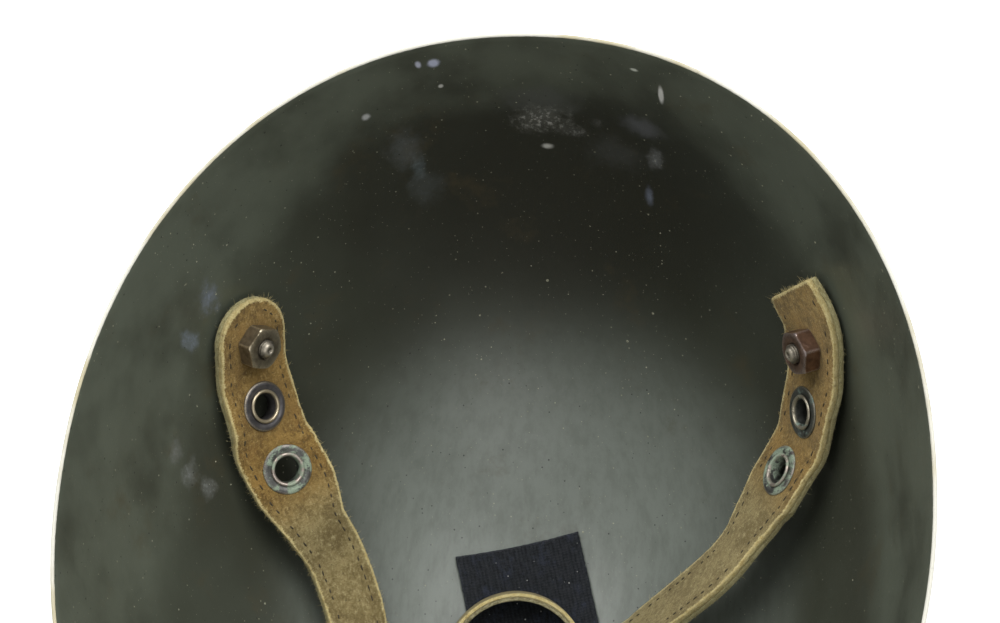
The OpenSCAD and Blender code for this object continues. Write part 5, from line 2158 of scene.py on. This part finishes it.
@dataclass(frozen=True)
class Lamp:
    """A soft rectangular lamp: its place, what it points at, its width and height, and its power in watts."""

    name: str
    where: Triple
    target: Triple
    size: tuple[float, float]
    power: float
    colour: Colour = (1.0, 1.0, 1.0)

    def hang(self) -> None:
        """Adds the lamp to the scene."""
        data = bpy.data.lights.new(self.name, "AREA")
        data.shape, data.size, data.size_y = "RECTANGLE", *self.size
        data.energy, data.color = self.power, self.colour
        lamp = bpy.data.objects.new(self.name, data)
        lamp.location = self.where
        lamp.rotation_euler = (Vector(self.target) - Vector(self.where)).to_track_quat("-Z", "Y").to_euler()
        bpy.context.scene.collection.objects.link(lamp)


@dataclass
class Studio:
    """Camera, soft lights and a white floor that keeps the helmet's shadow."""

    eye: Triple = (0.081, -0.1555, 0.6344)
    ahead: Triple = (-0.1526, 0.3923, -0.9071)
    up: Triple = (-0.0054, 0.9175, 0.3977)
    focal: float = 65.3148
    lamps: tuple[Lamp, ...] = (
        Lamp("left_light", (-0.45, 0.5, 1.0), (0.0, 0.0, 0.03), (0.8, 1.2), 12.0),
        Lamp("right_light", (0.6, 0.5, 1.0), (0.0, 0.0, 0.03), (1.1, 1.2), 14.5),
        Lamp("fill_light", (0.25, -0.85, 0.95), (0.0, 0.0, 0.05), (0.8, 0.6), 2.5, (1.0, 0.99, 0.97)),
    )

    def build(self) -> None:
        """Sets up the camera, the floor, the world and the lamps."""
        bpy.context.scene.view_settings.view_transform = "Standard"
        self.camera()
        self.floor()
        self.world()
        for lamp in self.lamps:
            lamp.hang()

    def camera(self) -> None:
        """Stands the camera where the picture was taken from."""
        data = bpy.data.cameras.new("camera")
        data.sensor_width, data.lens = 36, self.focal
        data.clip_start, data.clip_end = 0.01, 20
        data.dof.use_dof = False
        camera = bpy.data.objects.new("camera", data)
        bpy.context.scene.collection.objects.link(camera)
        forward = unit(self.ahead)
        right = unit(np.cross(forward, self.up))
        above = np.cross(right, forward)
        rows = [[right[k], above[k], -forward[k], self.eye[k]] for k in range(3)]
        camera.matrix_world = Matrix([*rows, [0, 0, 0, 1]])
        bpy.context.scene.camera = camera

    def floor(self) -> None:
        """Lays a white floor, which shows as white and still takes the helmet's shadow."""
        half = 3.0
        corners = np.array([(-half, -half, 0), (half, -half, 0), (half, half, 0), (-half, half, 0)])
        obj = make_mesh("floor", corners, [(0, 1, 2, 3)], False)
        g = Graph("floor_white")
        glow = g.ray("Camera").larger(g.ray("Glossy")) * 0.34
        g.dress(Base_Color=(0.88, 0.88, 0.87), Roughness=0.9)
        lit = g.add("ShaderNodeEmission", None, {"Color": (1.0, 1.0, 1.0), "Strength": glow})
        both = g.add("ShaderNodeAddShader", None, {0: Value(g, g.shader.outputs[0]), 1: lit})
        g.feed(g.output.inputs[0], both)
        obj.data.materials.append(g.owner)

    def world(self) -> None:
        """Surrounds the scene with soft light that looks white."""
        g = Graph("surround", world=True)
        seen = g.ray("Camera").larger(g.ray("Transmission"))
        g.dress(Strength=g.add("ShaderNodeMapRange", None, {"Value": seen, "To Min": 0.5, "To Max": 1.0}))
        bpy.context.scene.world = g.owner


def main() -> None:
    """Builds the helmet piece by piece, then the studio round it."""
    logging.basicConfig(level=logging.INFO, format="%(message)s")
    layout = Layout()
    bowl = layout.bowl
    seats = layout.seats()
    shell = Shell(bowl).build(seats)
    paint = shell.data.materials[0]
    leather = RoughLeather("strap_leather").material()
    under = Hide((0.06, 0.052, 0.022), (0.14, 0.12, 0.055), (0.24, 0.22, 0.12))
    backing = RoughLeather("strap_backing", under, under, (0.3, 0.26, 0.11), (0.46, 0.42, 0.23)).material()
    # Painted shade: the lining's cut edges are much darker than the backing's, for the shadow inside the
    # cup's band.
    lining = RoughLeather("cup_lining", under, under, (0.12, 0.1, 0.045), (0.36, 0.33, 0.2)).material()
    thread = Thread("sewing_thread").material()
    wire = AgedMetal("buckle_wire_metal", (0.26, 0.25, 0.22), (0.55, 0.53, 0.48),
                     (0.12, 0.09, 0.06), 0.22, 0.34).material()
    nuts = {"left": Patina.BROWN, "right": Patina.RUSSET, "nape": Patina.BROWN}
    for side, seat in seats.items():
        BoltSet(side, seat, bowl, nuts[side], paint).build()
    ages = {"left": (Patina.PLUM, Patina.VERDIGRIS), "right": (Patina.GREY, Patina.VERDIGRIS),
            "nape": (Patina.PLUM,)}
    for side, patinas in ages.items():
        names = ("nape_eyelet",) if side == "nape" else (f"{side}_upper_eyelet", f"{side}_lower_eyelet")
        for name, place, patina in zip(names, layout.hanger(side)[1:], patinas):
            Eyelet(name, place, patina).build()
    straps = {side: Strap(side, layout, leather=leather, backing=backing, thread=thread)
              for side in ("left", "right", "nape")}
    for strap in straps.values():
        strap.build()
    cup = ChinCup(layout)
    cup.build(leather, lining)
    Billet(layout, cup, leather).build()
    left, nape = (straps[s].wire(straps[s].track()) for s in ("left", "nape"))
    Buckle(left, wire).build()
    WireFrame("nape_wire_loop", "nape_loop", "nape_ring", nape, wire, 12 * MM).build()
    CrownPatch(bowl).build()
    Studio().build()


if __name__ == "__main__":
    main()
